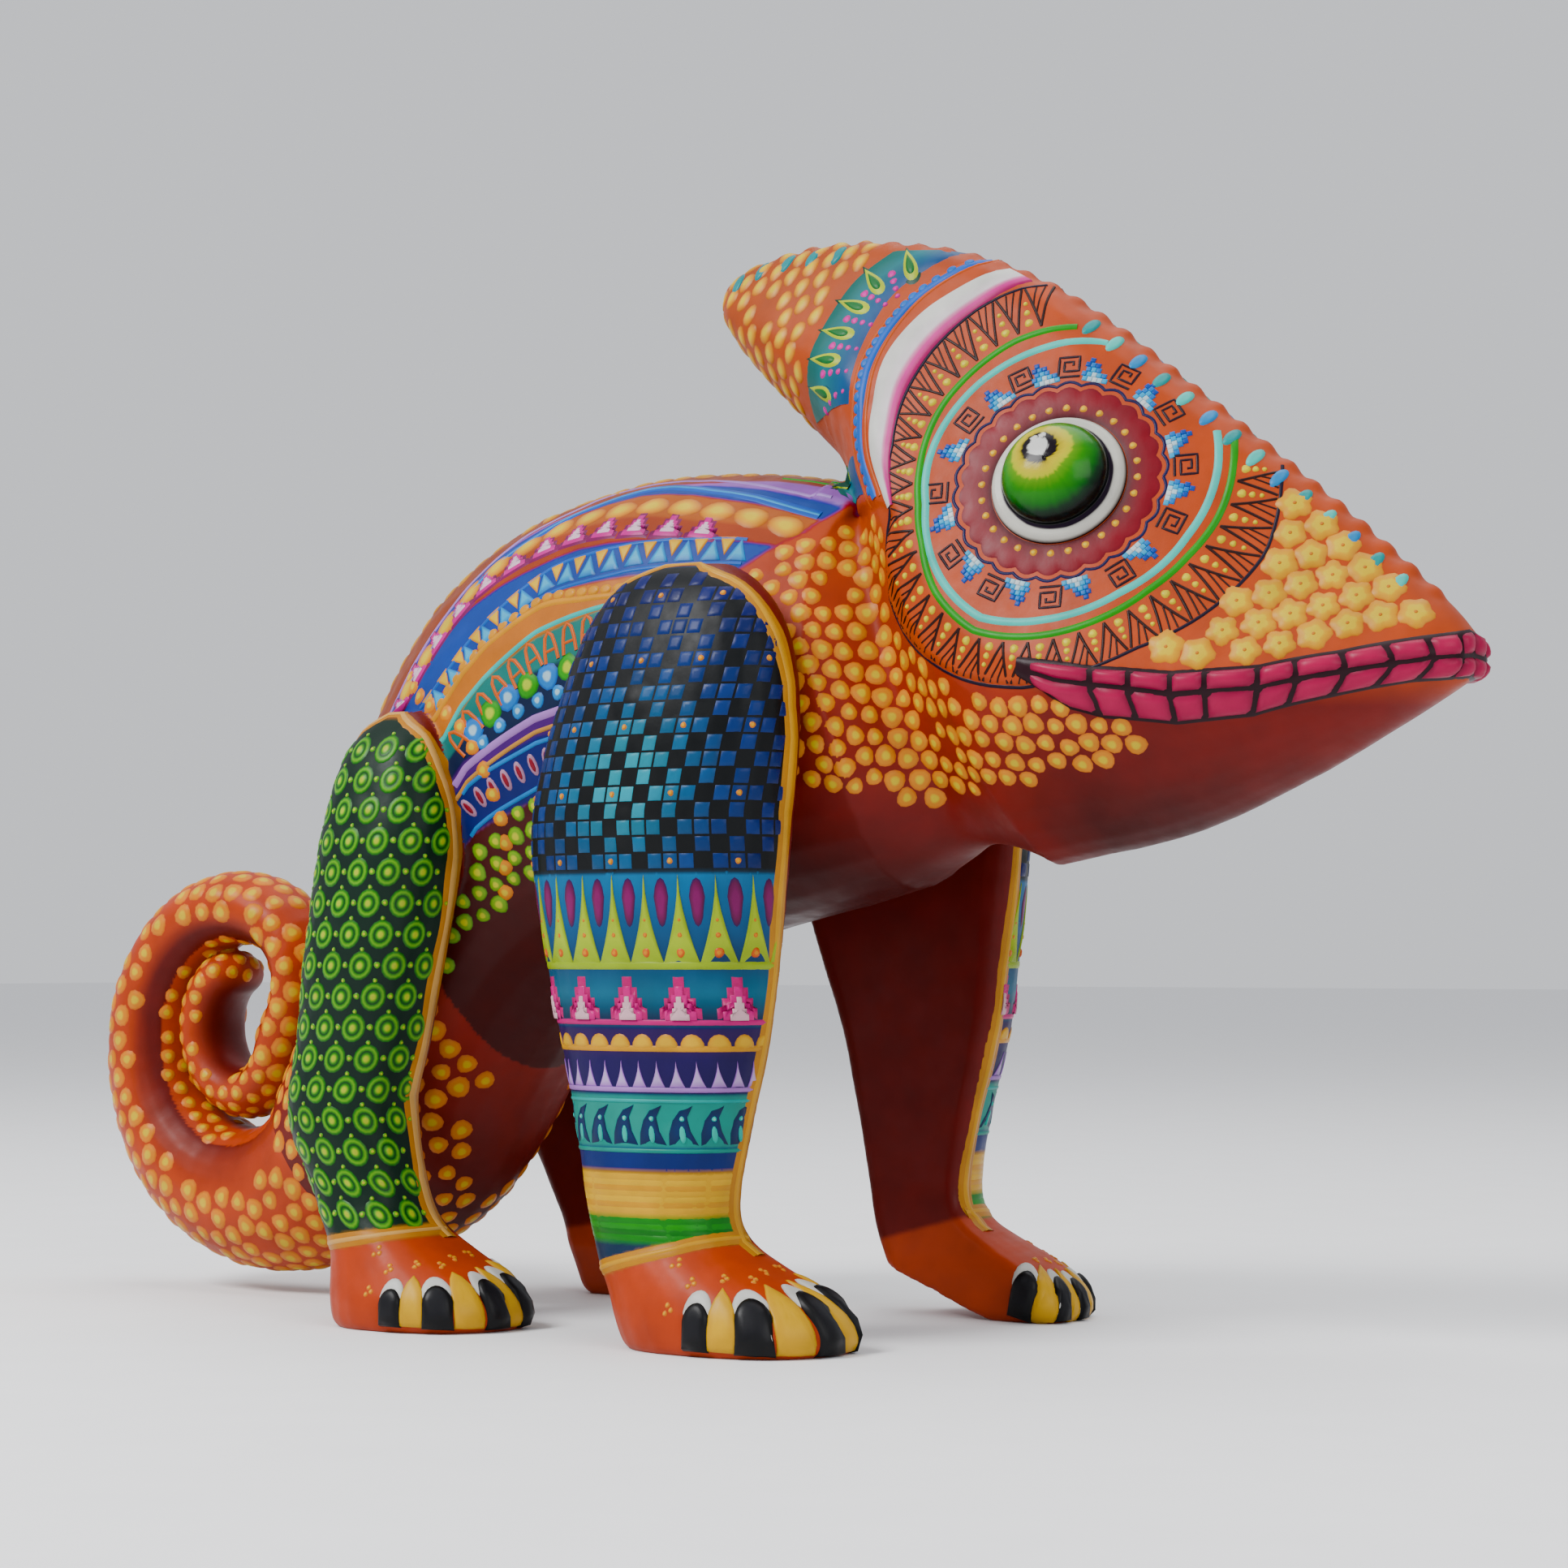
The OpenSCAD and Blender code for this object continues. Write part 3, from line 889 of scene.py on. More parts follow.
class LegChart:
    """Outer face of a leg: distance round from its outermost line, and height"""

    LOW = 8
    WIDEST = 112  # degrees that the chart reaches round each way, in steps
    STEP = 2
    INNER = 33  # distance of its axis from the middle plane

    def __init__(self, end, side_name, high):
        self.name = f"leg_{end}_{side_name}"
        self.end = end
        side = SIDES[side_name]
        self.rows = {}
        for level in range(self.LOW, high + 1):
            start = np.array([read_off(LEG_AXIS[end], level), side * self.INNER, level])
            row = []
            for turn in range(-self.WIDEST, self.WIDEST + 1, self.STEP):
                swing = math.radians(turn)
                ray = np.array([math.sin(swing), side * math.cos(swing), 0])
                hit = skin.way_out(start, ray, 60)
                if hit is not None and skin.owner[hit[2]] == self.name:
                    row.append((turn, *hit[0], *hit[1]))
            row = self.joined(row)
            if row is not None:
                self.rows[level] = row
        self.find_borders()

    def joined(self, row):
        """The unbroken stretch of a row round its outermost point, with distances along it"""
        if len(row) < 8:
            return None
        row = np.array(row)
        middle = int(np.argmin(np.abs(row[:, 0])))
        first = last = middle
        while first > 0 and row[first, 0] - row[first - 1, 0] <= self.STEP:
            first -= 1
        while last < len(row) - 1 and row[last + 1, 0] - row[last, 0] <= self.STEP:
            last += 1
        row = row[first:last + 1]
        lengths = distances(row[:, 1:4])
        return np.column_stack([lengths - lengths[middle - first], row[:, 1:]])

    def find_borders(self):
        """Edges of the painted outer face at each level, a little outside the flat inner face"""
        levels = sorted(self.rows)
        ends = []
        for level in levels:
            row = self.rows[level]
            outer = np.abs(row[:, 2]) > read_off(LEG_BORDER[self.end], level)
            middle = int(np.argmin(np.abs(row[:, 0])))
            first = last = middle
            while first > 0 and outer[first - 1]:
                first -= 1
            while last < len(row) - 1 and outer[last + 1]:
                last += 1
            ends.append((row[first, 0], row[last, 0]))
        ends = np.median(shifted(np.array(ends), 4), axis=0)
        self.ends = np.mean(shifted(ends, 2), axis=0)
        self.levels = np.array(levels)

    def border(self, level):
        """Distances round from the outermost line to the two edges of the outer face"""
        return tuple(np.interp(level, self.levels, self.ends[:, k]) for k in (0, 1))

    def place(self, across, level):
        """Place on the skin at a distance round and a height"""
        below = int(math.floor(level))
        low, high = self.rows.get(below), self.rows.get(below + 1)
        if low is None or high is None:
            return None
        found = []
        for row in (low, high):
            if not row[0, 0] <= across <= row[-1, 0]:
                return None
            found.append([np.interp(across, row[:, 0], row[:, k]) for k in range(1, 7)])
        share = level - below
        point = np.array(found[0]) * (1 - share) + np.array(found[1]) * share
        normal = point[3:] / np.linalg.norm(point[3:])
        return point[:3], normal


# ---------------------------------------------------------------- ground colours of the skin


def edge(value, place, width=0.7):
    """0 below a place and 1 above it, with a brush-soft edge"""
    return np.clip((value - place) / width + 0.5, 0, 1)


class Ground:
    """Ground coat: a colour at each point of the skin, laid on in order"""

    def __init__(self, points, owner):
        self.points, self.owner = points, owner
        self.colours = np.tile(DEEP_RED, (len(points), 1))

    def lay(self, share, colour):
        """Covers the ground with a colour, by a share from 0 to 1 at each point"""
        share = np.asarray(share, float)[:, None]
        self.colours = self.colours * (1 - share) + np.asarray(colour) * share

    def fade(self, where, value, stops):
        """Colours that run through stops as a value changes"""
        for k in range(3):
            run = read_off([(place, colour[k]) for place, colour in stops], value)
            self.colours[:, k] = np.where(where, run, self.colours[:, k])


def paint_neck(ground):
    """Red that brightens up the neck"""
    x, z = ground.points[:, 0], ground.points[:, 2]
    # Darker towards the foot of the neck: the reds there are the paint, deepened as painted shade under the
    # head
    ground.fade(ground.owner != "tail", z + 0.25 * (x - 30),
                [(78, DEEP_RED), (92, BRIGHT_RED), (112, shade("B02804")), (138, ORANGE)])


def own_cheek_depth(points):
    """How far points are inside the head's outline on their own side"""
    return np.where(points[:, 1] < 0, cheek_depth(points, -1), cheek_depth(points, 1))


def paint_head(ground):
    """Orange face, a browner casque and a red jaw"""
    x, _, z = ground.points.T
    on_head = ground.owner == "head"
    depth = own_cheek_depth(ground.points)
    inside = on_head * edge(depth, 0, 0.8)
    above = edge(z, 103, 4)
    ground.lay(inside * above, ORANGE)
    casque = np.clip((z - 150) / 30, 0, 1) * np.clip((70 - x) / 50, 0, 1)
    ground.lay(inside * above * casque, shade("BC4E06"))
    jaw = on_head * edge(x, 76, 14)
    # The jaw below the mouth is red, darkest on its underside from z 90 down: its paint, deepened as
    # painted shade under the head
    ground.lay(jaw * (1 - above), BRIGHT_RED)
    ground.lay(jaw * (1 - edge(z, 90, 14)), DEEP_RED)


# Bands over the back, as (place along the body, angle down from the ridge) along each lower edge
BACK_BANDS = [
    ([(11, 13), (8.9, 15), (8.0, 17), (7.4, 21.5), (6.9, 22), (6, 25), (5, 33), (4.2, 49), (3, 59),
      (0, 69)], shade("B48AD0")),
    ([(11, 18), (8.9, 25), (8.06, 24), (7.4, 23), (6, 26), (5, 34), (4.2, 50), (3, 60), (0, 70)],
     shade("1048A8")),
    ([(11, 28), (8.78, 33), (7.7, 31), (6.7, 27), (5.86, 30), (5, 37), (4.2, 56), (3, 66), (0, 74)],
     shade("C4600A")),
    ([(11, 38), (8.3, 41), (7.5, 41), (6.7, 38), (5.88, 38), (5, 43), (4.2, 57), (3, 70), (0, 80)],
     shade("B04008")),
    ([(11, 46), (7.9, 48), (7.1, 49), (6.3, 47), (5.4, 49), (4.7, 52), (4.1, 61), (3, 76), (0, 86)],
     shade("1A48A8")),
    ([(11, 56), (7, 61), (6.1, 60), (5.4, 65), (4.9, 71), (4.2, 78), (3, 86), (0, 96)],
     shade("D87808")),
    ([(11, 66), (6.8, 70), (6.3, 72), (5.9, 74), (5.3, 79), (5, 85), (3, 96), (0, 104)],
     shade("0E8078")),
    ([(11, 80), (6.2, 83), (5.8, 85), (5.3, 92), (4, 100), (0, 110)], shade("06204A")),
    ([(11, 94), (6, 97), (5.4, 99), (5, 100), (4, 106), (0, 116)], shade("5A2A80")),
    ([(11, 102), (6, 103), (5.2, 104), (4, 110), (0, 120)], shade("0A1E7A")),
]
BACK_END = [(0, 126), (4, 122), (5.2, 119), (11, 118)]
# Front and rear edges of the bands: (angle down from the ridge, place along the body)
BACK_FORE = [(0, 9.35), (40, 8.6), (90, 7.2), (150, 6.8)]
BACK_REAR = [(0, 1.6), (90, 3.4), (150, 3.6)]


def paint_back(ground):
    """Bands that sweep from the neck down over the flank"""
    along, angle = body_chart(ground.points)
    torso = ground.owner == "torso"
    behind = 1 - edge(along, read_off(BACK_REAR, angle), 0.12)
    field = torso * (1 - edge(along, read_off(BACK_FORE, angle), 0.06)) * (1 - behind)
    field = field * (ground.points[:, 0] < 60) * (1 - edge(angle, read_off(BACK_END, along), 1.2))
    ground.lay(field, BURNT)
    for line, colour in BACK_BANDS:
        ground.lay(field * edge(angle, read_off(sorted(line), along), 1.2), colour)
    rump = torso * behind
    # The rump is darker towards the bottom, in reds partly deepened as painted shade
    ground.fade(rump > 0.5, ground.points[:, 2], [(15, DEEP_RED), (50, shade("A81E08")), (100, ORANGE)])


# Cuff above each foot: x of its middle, height there, and slope up towards the front
CUFFS = {"front": (17, 13.2, 0.27), "hind": (-47, 13.2, 0.16)}


def cuff_height(end, x):
    """Height of the cuff's lower edge, which slopes down to the back of the leg"""
    middle, height, slope = CUFFS[end]
    return height + slope * (x - middle)


# Fields of the outer faces and the height where each starts. Heights below LOWEST_FIELD count
# from the cuff's lower edge, and the others from the floor.
LOWEST_FIELD = 10
CUFF_FIELD = (0, shade("D89A48"))
CUFF_WIDTH = 2.2
SCALLOP_FOOT = 48.3
PINK_LINE = 52.4
SPIKE_FOOT = 61.5
CHECKER_FOOT = 76.3
FIELDS = {
    "front": [CUFF_FIELD, (CUFF_WIDTH, shade("0A3050")), (17, shade("129018")), (21.3, YELLOW),
              (28.4, shade("0E2A7A")), (32.3, shade("14A090")), (40.7, shade("24125A")),
              (47.2, shade("300A5A")), (51.6, shade("0E4A6E")), (SPIKE_FOOT, shade("0E5A80")),
              (CHECKER_FOOT, shade("05090C"))],
    "hind": [CUFF_FIELD, (CUFF_WIDTH, DARK_GREEN)],
}
# Blues that fade up the front leg, behind its spikes and its pyramids: (height, colour)
LEG_FADES = [
    [(SPIKE_FOOT, shade("0C3A66")), (68, shade("145A90")), (CHECKER_FOOT, shade("1878B0"))],
    [(53, shade("0A2A50")), (57, shade("127090")), (SPIKE_FOOT, shade("0C4A78"))],
]


def paint_legs(ground):
    """Red inner faces and feet, and the fields of the outer faces above the cuff"""
    points = ground.points
    z = points[:, 2]
    for name in LEGS:
        _, end, side_name = name.split("_")
        mine = (ground.owner == name).astype(float)
        ground.lay(mine, shade("7C0C04"))
        cuff = cuff_height(end, points[:, 0])
        outer = mine * edge(points[:, 1] * SIDES[side_name], read_off(LEG_BORDER[end], z))
        ground.lay(mine * (1 - edge(z, cuff, 1.0)), FOOT_RED)
        for level, colour in FIELDS[end]:
            foot = cuff + level if level < LOWEST_FIELD else level
            ground.lay(outer * edge(z, foot), colour)
        if end == "front":
            for stops in LEG_FADES:
                inside = outer * (z > stops[0][0]) * (z < stops[-1][0]) > 0.5
                ground.fade(inside, z, stops)


def paint_tail(ground):
    """Orange red, with painted shade: a darker red down the groove along the inner side of the coil"""
    on_tail = ground.owner == "tail"
    ground.lay(on_tail.astype(float), shade("D04204"))
    turn, outward = coil_place(ground.points)
    nearest = np.full(len(turn), 1e9)
    for wrap in (0, 360):
        angle = turn + wrap
        inward = np.vectorize(coil_radius)(angle) - outward
        valid = (angle > COIL["start"] - 5) & (angle < COIL["end"] + 5)
        closer = valid & (np.abs(inward) < np.abs(nearest))
        nearest = np.where(closer, inward, nearest)
    # Painted shade: the inner sides of the coil, down in the groove between its wraps, are laid a darker
    # red where less light reaches them
    flank = np.clip(2.4 - np.abs(ground.points[:, 1]) / 6.0, 0, 1)
    ground.lay(on_tail * np.clip((nearest - 1.0) / 3.0, 0, 1) * flank, shade("780C02"))


def ground_coat(points, owner):
    """Colour of the ground coat at each point of one part"""
    ground = Ground(points, np.full(len(points), owner))
    for paint_part in (paint_neck, paint_head, paint_back, paint_legs, paint_tail):
        paint_part(ground)
    return ground.colours


# ---------------------------------------------------------------- carved pieces

# Line that parts the tail from the rump, then round the coil: x, z
TAIL_CUT = [(-96.8, 37.8), (-74.2, 10.8), (-66.5, 1.6), (-66.5, -5), (-150, -5), (-150, 90),
            (-88, 90), (-88.2, 60), (-91.2, 50), (-94.1, 44)]
TAIL_HALF_WIDTH = 22
PEG_HEIGHT = 20.5
SOCKET_RADIUS = 4.06
SOCKET_END = -60.2
ROD_START = -130
ROD_SIDES = 48
PIECE_SLOTS = {"tail": "tail_paint", "torso": "body_paint", "head": "head_paint"}
PIECE_SLOTS.update({name: name.split("_")[1] + "_leg_paint" for name in LEGS})


def block_between(first, last):
    """Closed block between two rings of points. The first runs anticlockwise, seen from outside."""
    count = len(first)
    faces = [tuple(range(count)), tuple(range(2 * count - 1, count - 1, -1))]
    for j in range(count):
        k = (j + 1) % count
        faces.append((k, j, count + j, count + k))
    return first + last, faces


def cut(thing, tool, operation):
    """Mesh of a thing after a boolean with a tool"""
    change = thing.modifiers.new("cut", "BOOLEAN")
    change.operation = operation
    change.solver = "MANIFOLD"
    change.object = tool
    depsgraph = bpy.context.evaluated_depsgraph_get()
    depsgraph.update()
    result = bpy.data.meshes.new_from_object(thing.evaluated_get(depsgraph))
    thing.modifiers.clear()
    return result


def polygons_of(mesh):
    """Faces of a mesh, each as the numbers of its corners"""
    return [tuple(polygon.vertices) for polygon in mesh.polygons]


def carved_piece(name, points, faces, chosen, caps, normals):
    """A part of the skin, with its cut faces left as bare wood in a second material"""
    used = sorted({v for i in chosen for v in faces[i]})
    cap_used = sorted({v for i in caps for v in faces[i]})
    renamed = {v: i for i, v in enumerate(used)}
    cap_renamed = {v: len(used) + i for i, v in enumerate(cap_used)}
    mesh_faces = [tuple(renamed[v] for v in faces[i]) for i in chosen]
    mesh_faces += [tuple(cap_renamed[v] for v in faces[i]) for i in caps]
    colours = np.vstack([ground_coat(points[used], name), np.tile(TAN, (len(cap_used), 1))])
    soft = normals[used]
    if caps:
        flat = np.zeros((len(cap_used), 3))
        for i in caps:
            a, b, c = (points[v] for v in faces[i][:3])
            for v in faces[i]:
                flat[cap_renamed[v] - len(used)] += np.cross(b - a, c - a)
        soft = np.vstack([soft, unit_rows(flat)])
    body = "tail" if name == "tail" else "figure"
    thing = make_piece("carved_" + name, points[used + cap_used], mesh_faces, colours, CARVED,
                       PIECE_SLOTS[name], body, soft)
    if caps:
        thing.data.materials.append(COPAL)
        for i in range(len(chosen), len(mesh_faces)):
            thing.data.polygons[i].material_index = 1
    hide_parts(name)


def soft_normals(points, faces, skip):
    """Normal at each point, made from all faces but the cut ones"""
    total = np.zeros_like(points)
    for i, face in enumerate(faces):
        if i in skip:
            continue
        a, b, c = points[face[0]], points[face[1]], points[face[2]]
        level = np.cross(b - a, c - a) if len(face) == 3 else np.cross(c - a, points[face[3]] - b)
        for v in face:
            total[v] += level
    return unit_rows(total)


def cut_faces(middles, face_normals, with_socket):
    """Numbers of the faces that the cuts have left: the joint's flat, and the socket's walls and floor"""
    start, end = np.array(TAIL_CUT[0]), np.array(TAIL_CUT[2])
    along = (end - start) / np.linalg.norm(end - start)
    across = np.array([along[1], -along[0]])
    off = np.abs((middles[:, [0, 2]] - start) @ across)
    flat = np.abs(face_normals[:, [0, 2]] @ across)
    bare = (off < 0.02) & (flat > 0.999) & (middles[:, 0] < -60)
    if with_socket:
        from_axis = np.hypot(middles[:, 1], middles[:, 2] - PEG_HEIGHT)
        within = (middles[:, 0] > -100) & (middles[:, 0] < SOCKET_END + 0.1)
        wall = (np.abs(from_axis - SOCKET_RADIUS) < 0.06) & (np.abs(face_normals[:, 0]) < 0.01)
        floor = (from_axis < SOCKET_RADIUS) & (face_normals[:, 0] < -0.999)
        bare |= within & (wall | floor)
    return set(np.nonzero(bare)[0])


def make_parts(mesh, names, with_socket):
    """A piece for each part in a cut mesh. Cut faces and strays belong to the first part."""
    points, faces = vertex_array(mesh), polygons_of(mesh)
    face_normals = np.array([tuple(polygon.normal) for polygon in mesh.polygons])
    middles = np.array([points[list(face)].mean(axis=0) for face in faces])
    caps = cut_faces(middles, face_normals, with_socket)
    normals = soft_normals(points, faces, caps)
    owner = np.array([skin.owner[skin.nearest(middle)[2]] for middle in middles])
    owner[~np.isin(owner, names)] = names[0]
    for name in names:
        chosen = [i for i in np.nonzero(owner == name)[0] if i not in caps]
        carved_piece(name, points, faces, chosen, sorted(caps) if name == names[0] else [], normals)


def make_carved_pieces():
    """Cuts the skin where the tail joins, bores the socket of its peg, and makes the pieces"""
    whole = plain_object("whole", skin.points, skin.faces)
    rings = [[(x, y, z) for x, z in TAIL_CUT[::-1]] for y in (-TAIL_HALF_WIDTH, TAIL_HALF_WIDTH)]
    block = plain_object("block", *block_between(*rings))
    tail_mesh = cut(whole, block, "INTERSECT")
    body_mesh = cut(whole, block, "DIFFERENCE")
    rest = plain_object("rest", vertex_array(body_mesh), polygons_of(body_mesh))
    rings = [[(x, SOCKET_RADIUS * math.cos(t), PEG_HEIGHT + SOCKET_RADIUS * math.sin(t))
              for t in turns_round(ROD_SIDES)] for x in (SOCKET_END, ROD_START)]
    rod = plain_object("rod", *block_between(*rings))
    body_mesh = cut(rest, rod, "DIFFERENCE")
    for thing in (whole, block, rest, rod):
        bpy.data.objects.remove(thing)
    make_parts(tail_mesh, ["tail"], False)
    make_parts(body_mesh, ["torso", "head", *LEGS], True)


# ---------------------------------------------------------------- eyes

# Painted rings of the eye: how far round the dome from where it looks, and colour. The black at the dome's
# foot is partly its paint and partly painted shade, as the rings leave it widest on the dome's lower front
# flank, away from the light.
EYE_WHITE, EYE_BLACK, EYE_BLACK_AND_SHADE = shade("F4F4F0"), shade("140A14"), shade("050A08")
EYE_RINGS = [(0, EYE_WHITE), (11, EYE_WHITE), (12.5, EYE_BLACK), (20, EYE_BLACK), (21.5, shade("C8B400")),
             (28, shade("E8D400")), (35, shade("D8DC18")), (38, shade("6CB010")), (50, shade("2E9A18")),
             (66, shade("1A7A1A")), (76, shade("0A3C1C")), (86, EYE_BLACK_AND_SHADE), (125, EYE_BLACK_AND_SHADE)]
EYE_GAZE = (-0.17, 0.26)  # how far the painted pupil looks ahead and up
# Two painted highlights, white spots above the pupil: how far ahead and up of the gaze each lies, then
# their size in degrees
EYE_PAINTED_HIGHLIGHTS = ((-0.16, 0.28), (0.02, 0.33))
EYE_HIGHLIGHT_SIZE = 4.0
DOME_RADIUS, DOME_RISE, DOME_FOOT = 8.75, 6.2, 1.8
DOME_ROWS = 48
EYE_TURNS = 128
# Button round the dome, then its dark edge: radius, level along the eye's axis
BUTTON = [(radius, 1.75 - 0.25 * (radius - 8.9)) for radius in np.arange(8.9, 10.4, 0.15)] + [(10.8, 0.7)]
BUTTON_EDGE = [(11.15, 0.1), (11.25, -1.2), (11.25, -2.3)]


def angle_between(a, b):
    """Degrees between two directions of length 1"""
    return math.degrees(math.acos(min(1.0, a @ b)))


def make_eye(side_name):
    """Turned dome with an iris painted in rings and two painted highlights, on a white button"""
    side = SIDES[side_name]
    middle, forward, up, out = eye_axes(side)
    gaze = out + up * EYE_GAZE[1] + forward * EYE_GAZE[0]
    gaze /= np.linalg.norm(gaze)
    painted_highlights = unit_rows(np.array([gaze + up * high + forward * ahead for ahead, high in EYE_PAINTED_HIGHLIGHTS]))
    rand = random.Random(3)
    waves = [[rand.uniform(0, 2 * math.pi) for _ in range(3)] for _ in range(2)]
    points, colours = [], []

    def add_point(radius, level, turn, colour):
        way = forward * math.cos(turn) + up * math.sin(turn)
        points.append(middle + radius * way + level * out)
        colours.append(colour)

    def add_dome_point(tip, turn):
        way = forward * math.cos(turn) + up * math.sin(turn)
        ray = out * math.cos(tip) + way * math.sin(tip)
        # Painted highlights: the dome is white where it is close to the direction of a highlight, and
        # ringed round the gaze elsewhere
        colour = WHITE
        if min(angle_between(ray, highlight) for highlight in painted_highlights) >= EYE_HIGHLIGHT_SIZE:
            wobble = sum(math.sin((n + 2) * turn + waves[0][n]) for n in range(3)) * 0.9
            fine = math.sin(23 * turn + waves[1][0]) * 0.7 + math.sin(37 * turn + waves[1][1]) * 0.5
            stray = wobble + fine if math.degrees(tip) < 85 else 0
            colour = ramp(EYE_RINGS, max(0, angle_between(ray, gaze) + stray))
        add_point(DOME_RADIUS * math.sin(tip), DOME_FOOT + DOME_RISE * math.cos(tip), turn, colour)

    turns = [2 * math.pi * j / EYE_TURNS for j in range(EYE_TURNS)]
    add_dome_point(0, 0)
    for row in range(1, DOME_ROWS + 1):
        for turn in turns:
            add_dome_point(math.pi / 2 * row / DOME_ROWS, turn)
    for radius, level in BUTTON:
        for turn in turns:
            # The black ring round the dome's foot is its paint, widened on the lower front side, away from
            # the light, as painted shade
            rim = 9.0 + 0.55 * max(0.0, math.cos(turn + math.pi / 4)) + 0.03 * math.sin(9 * turn)
            add_point(radius, level, turn, mix(INK, shade("F4F2E8"), (radius - rim) / 0.2))
    for radius, level in BUTTON_EDGE:
        for turn in turns:
            add_point(radius, level, turn, shade("2A0810"))
    faces = []
    for start in range(1, len(points) - EYE_TURNS, EYE_TURNS):
        for j in range(EYE_TURNS):
            k = (j + 1) % EYE_TURNS
            faces.append((start + j, start + k, start + EYE_TURNS + k, start + EYE_TURNS + j))
    faces += [(0, 1 + j, 1 + (j + 1) % EYE_TURNS) for j in range(EYE_TURNS)]
    if side > 0:
        faces = [face[::-1] for face in faces]
    piece = make_piece("button_eye_" + side_name, points, faces, np.array(colours), VARNISH, "eye_paint")
    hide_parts("eye_" + side_name)


# ---------------------------------------------------------------- hidden parts, floor, light, camera

CAMERA_PLACE = (378.56, -511.13, 63)
CAMERA_LOOK = (-0.57864, 0.81422, 0.04711)
CAMERA_LENS, CAMERA_SENSOR = 83.85, 36
FLOOR_REACH = 6000
LIGHT_AIM = (0, 0, 0.09)
# Soft boxes in metres and watts: name, place, size, power
LIGHTS = [("key", (-0.35, -0.75, 0.85), (0.5, 0.4), 17), ("fill", (0.85, -0.35, 0.5), (0.6, 0.5), 3.5),
          ("top", (0.0, 0.2, 1.0), (0.8, 0.8), 6)]


def finish_hidden_parts():
    """Bare materials for the joinery that the paint covers"""
    bare = {"nails": STEEL, "filler": FILLER, "neck_dowel": COPAL, "tail_peg": COPAL}
    for name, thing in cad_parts.items():
        for start, material in bare.items():
            if name.startswith(start):
                thing.data.materials.clear()
                thing.data.materials.append(material)


def make_floor():
    """Plain pale floor"""
    material, tree, shader = new_material("paper")
    fibres = value_noise(tree, 60, 4.0)
    blend_colours(tree, shader, fibres, (0.80, 0.80, 0.81), (0.85, 0.85, 0.86))
    shader.inputs["Roughness"].default_value = 0.6
    corners = [(x * FLOOR_REACH, y * FLOOR_REACH, 0) for x, y in ((-1, -1), (1, -1), (1, 1), (-1, 1))]
    floor = plain_object("floor", corners, [(0, 1, 2, 3)])
    floor.data.materials.append(material)


def make_lights():
    """Soft daylight from all round, with three soft boxes"""
    world = bpy.data.worlds.new("studio")
    bpy.context.scene.world = world
    world.use_nodes = True
    background = world.node_tree.nodes["Background"]
    background.inputs["Color"].default_value = (0.93, 0.95, 1.0, 1)
    background.inputs["Strength"].default_value = 0.85
    for name, place, size, power in LIGHTS:
        light = bpy.data.lights.new(name, "AREA")
        light.shape = "RECTANGLE"
        light.size, light.size_y = size
        light.energy = power
        thing = linked(name, light)
        thing.location = place
        thing.rotation_euler = (Vector(LIGHT_AIM) - Vector(place)).to_track_quat("-Z", "Y").to_euler()


def make_camera():
    """Camera at the height of the shoulders, looking at the figure's front right"""
    camera = bpy.data.cameras.new("camera")
    camera.lens = CAMERA_LENS
    camera.sensor_width = CAMERA_SENSOR
    thing = linked("camera", camera)
    thing.location = Vector(CAMERA_PLACE) * MM
    thing.rotation_euler = Vector(CAMERA_LOOK).to_track_quat("-Z", "Y").to_euler()
    bpy.context.scene.camera = thing


# ---------------------------------------------------------------- painted dots

GLOW = shades("E86A04", "FF9C08", "FFE468")
EMBER = shades("E05804", "FF9608", "FFDC60")
LIME_GLOW = shades("1A6A10", "8CC818", "F0F060")
GOLD_GLOW = shades("B05008", "E8A010", "F8D840")
# Edge of the dots on the neck and how low they go: (angle, place along the body), (x, height)
NECK_FORE = [(0, 9.3), (40, 8.75), (90, 7.35), (150, 6.95)]
NECK_LOW = [(0, 112), (30, 96), (41, 89), (60, 88.5), (80, 91), (96, 94)]
# Spacing and size of those dots at each height
NECK_GAPS = [(88, 3.5), (120, 3.6), (145, 3.0)]
NECK_SIZES = [(88, 1.38), (120, 1.42), (145, 1.15)]
RUMP_REAR = [(0, 1.5), (90, 3.2), (150, 3.4)]
FLANK_FORE = [(0, 9.2), (40, 8.5), (90, 7.0), (150, 6.6)]
CREST_EDGE = [(2, 50), (3, 44), (5, 24), (7, 15), (8, 10), (9.3, 9)]


def dot(paint, spot, radius, colours, height=0.28):
    """Round dab in rings of colour, from the rim to the middle, if there is skin at the spot"""
    if spot is None:
        return
    rim, body, heart = colours
    paint.blob(spot, (0, 0, 1), circle(radius, radius, 12, 0.06),
               [(1.3, -0.05, rim), (0.92, height * 0.55, body), (0.62, height * 0.9, body),
                (0.36, height, heart)])


def dot_field(paint, keep, gap, size, colours, most=1.12):
    """Packed field of dots, whose size may depend on where they are"""
    for point, normal, _ in scatter(keep, gap):
        radius = size(point) if callable(size) else size
        dot(paint, (point, normal), radius * random.uniform(0.85, most), colours)


def body_dots(name, keep, gap, size, colours):
    """Packed field of dots on the body, as an object of its own"""
    paint = Paint(name, "body_paint")
    dot_field(paint, keep, gap, size, colours)
    paint.done()


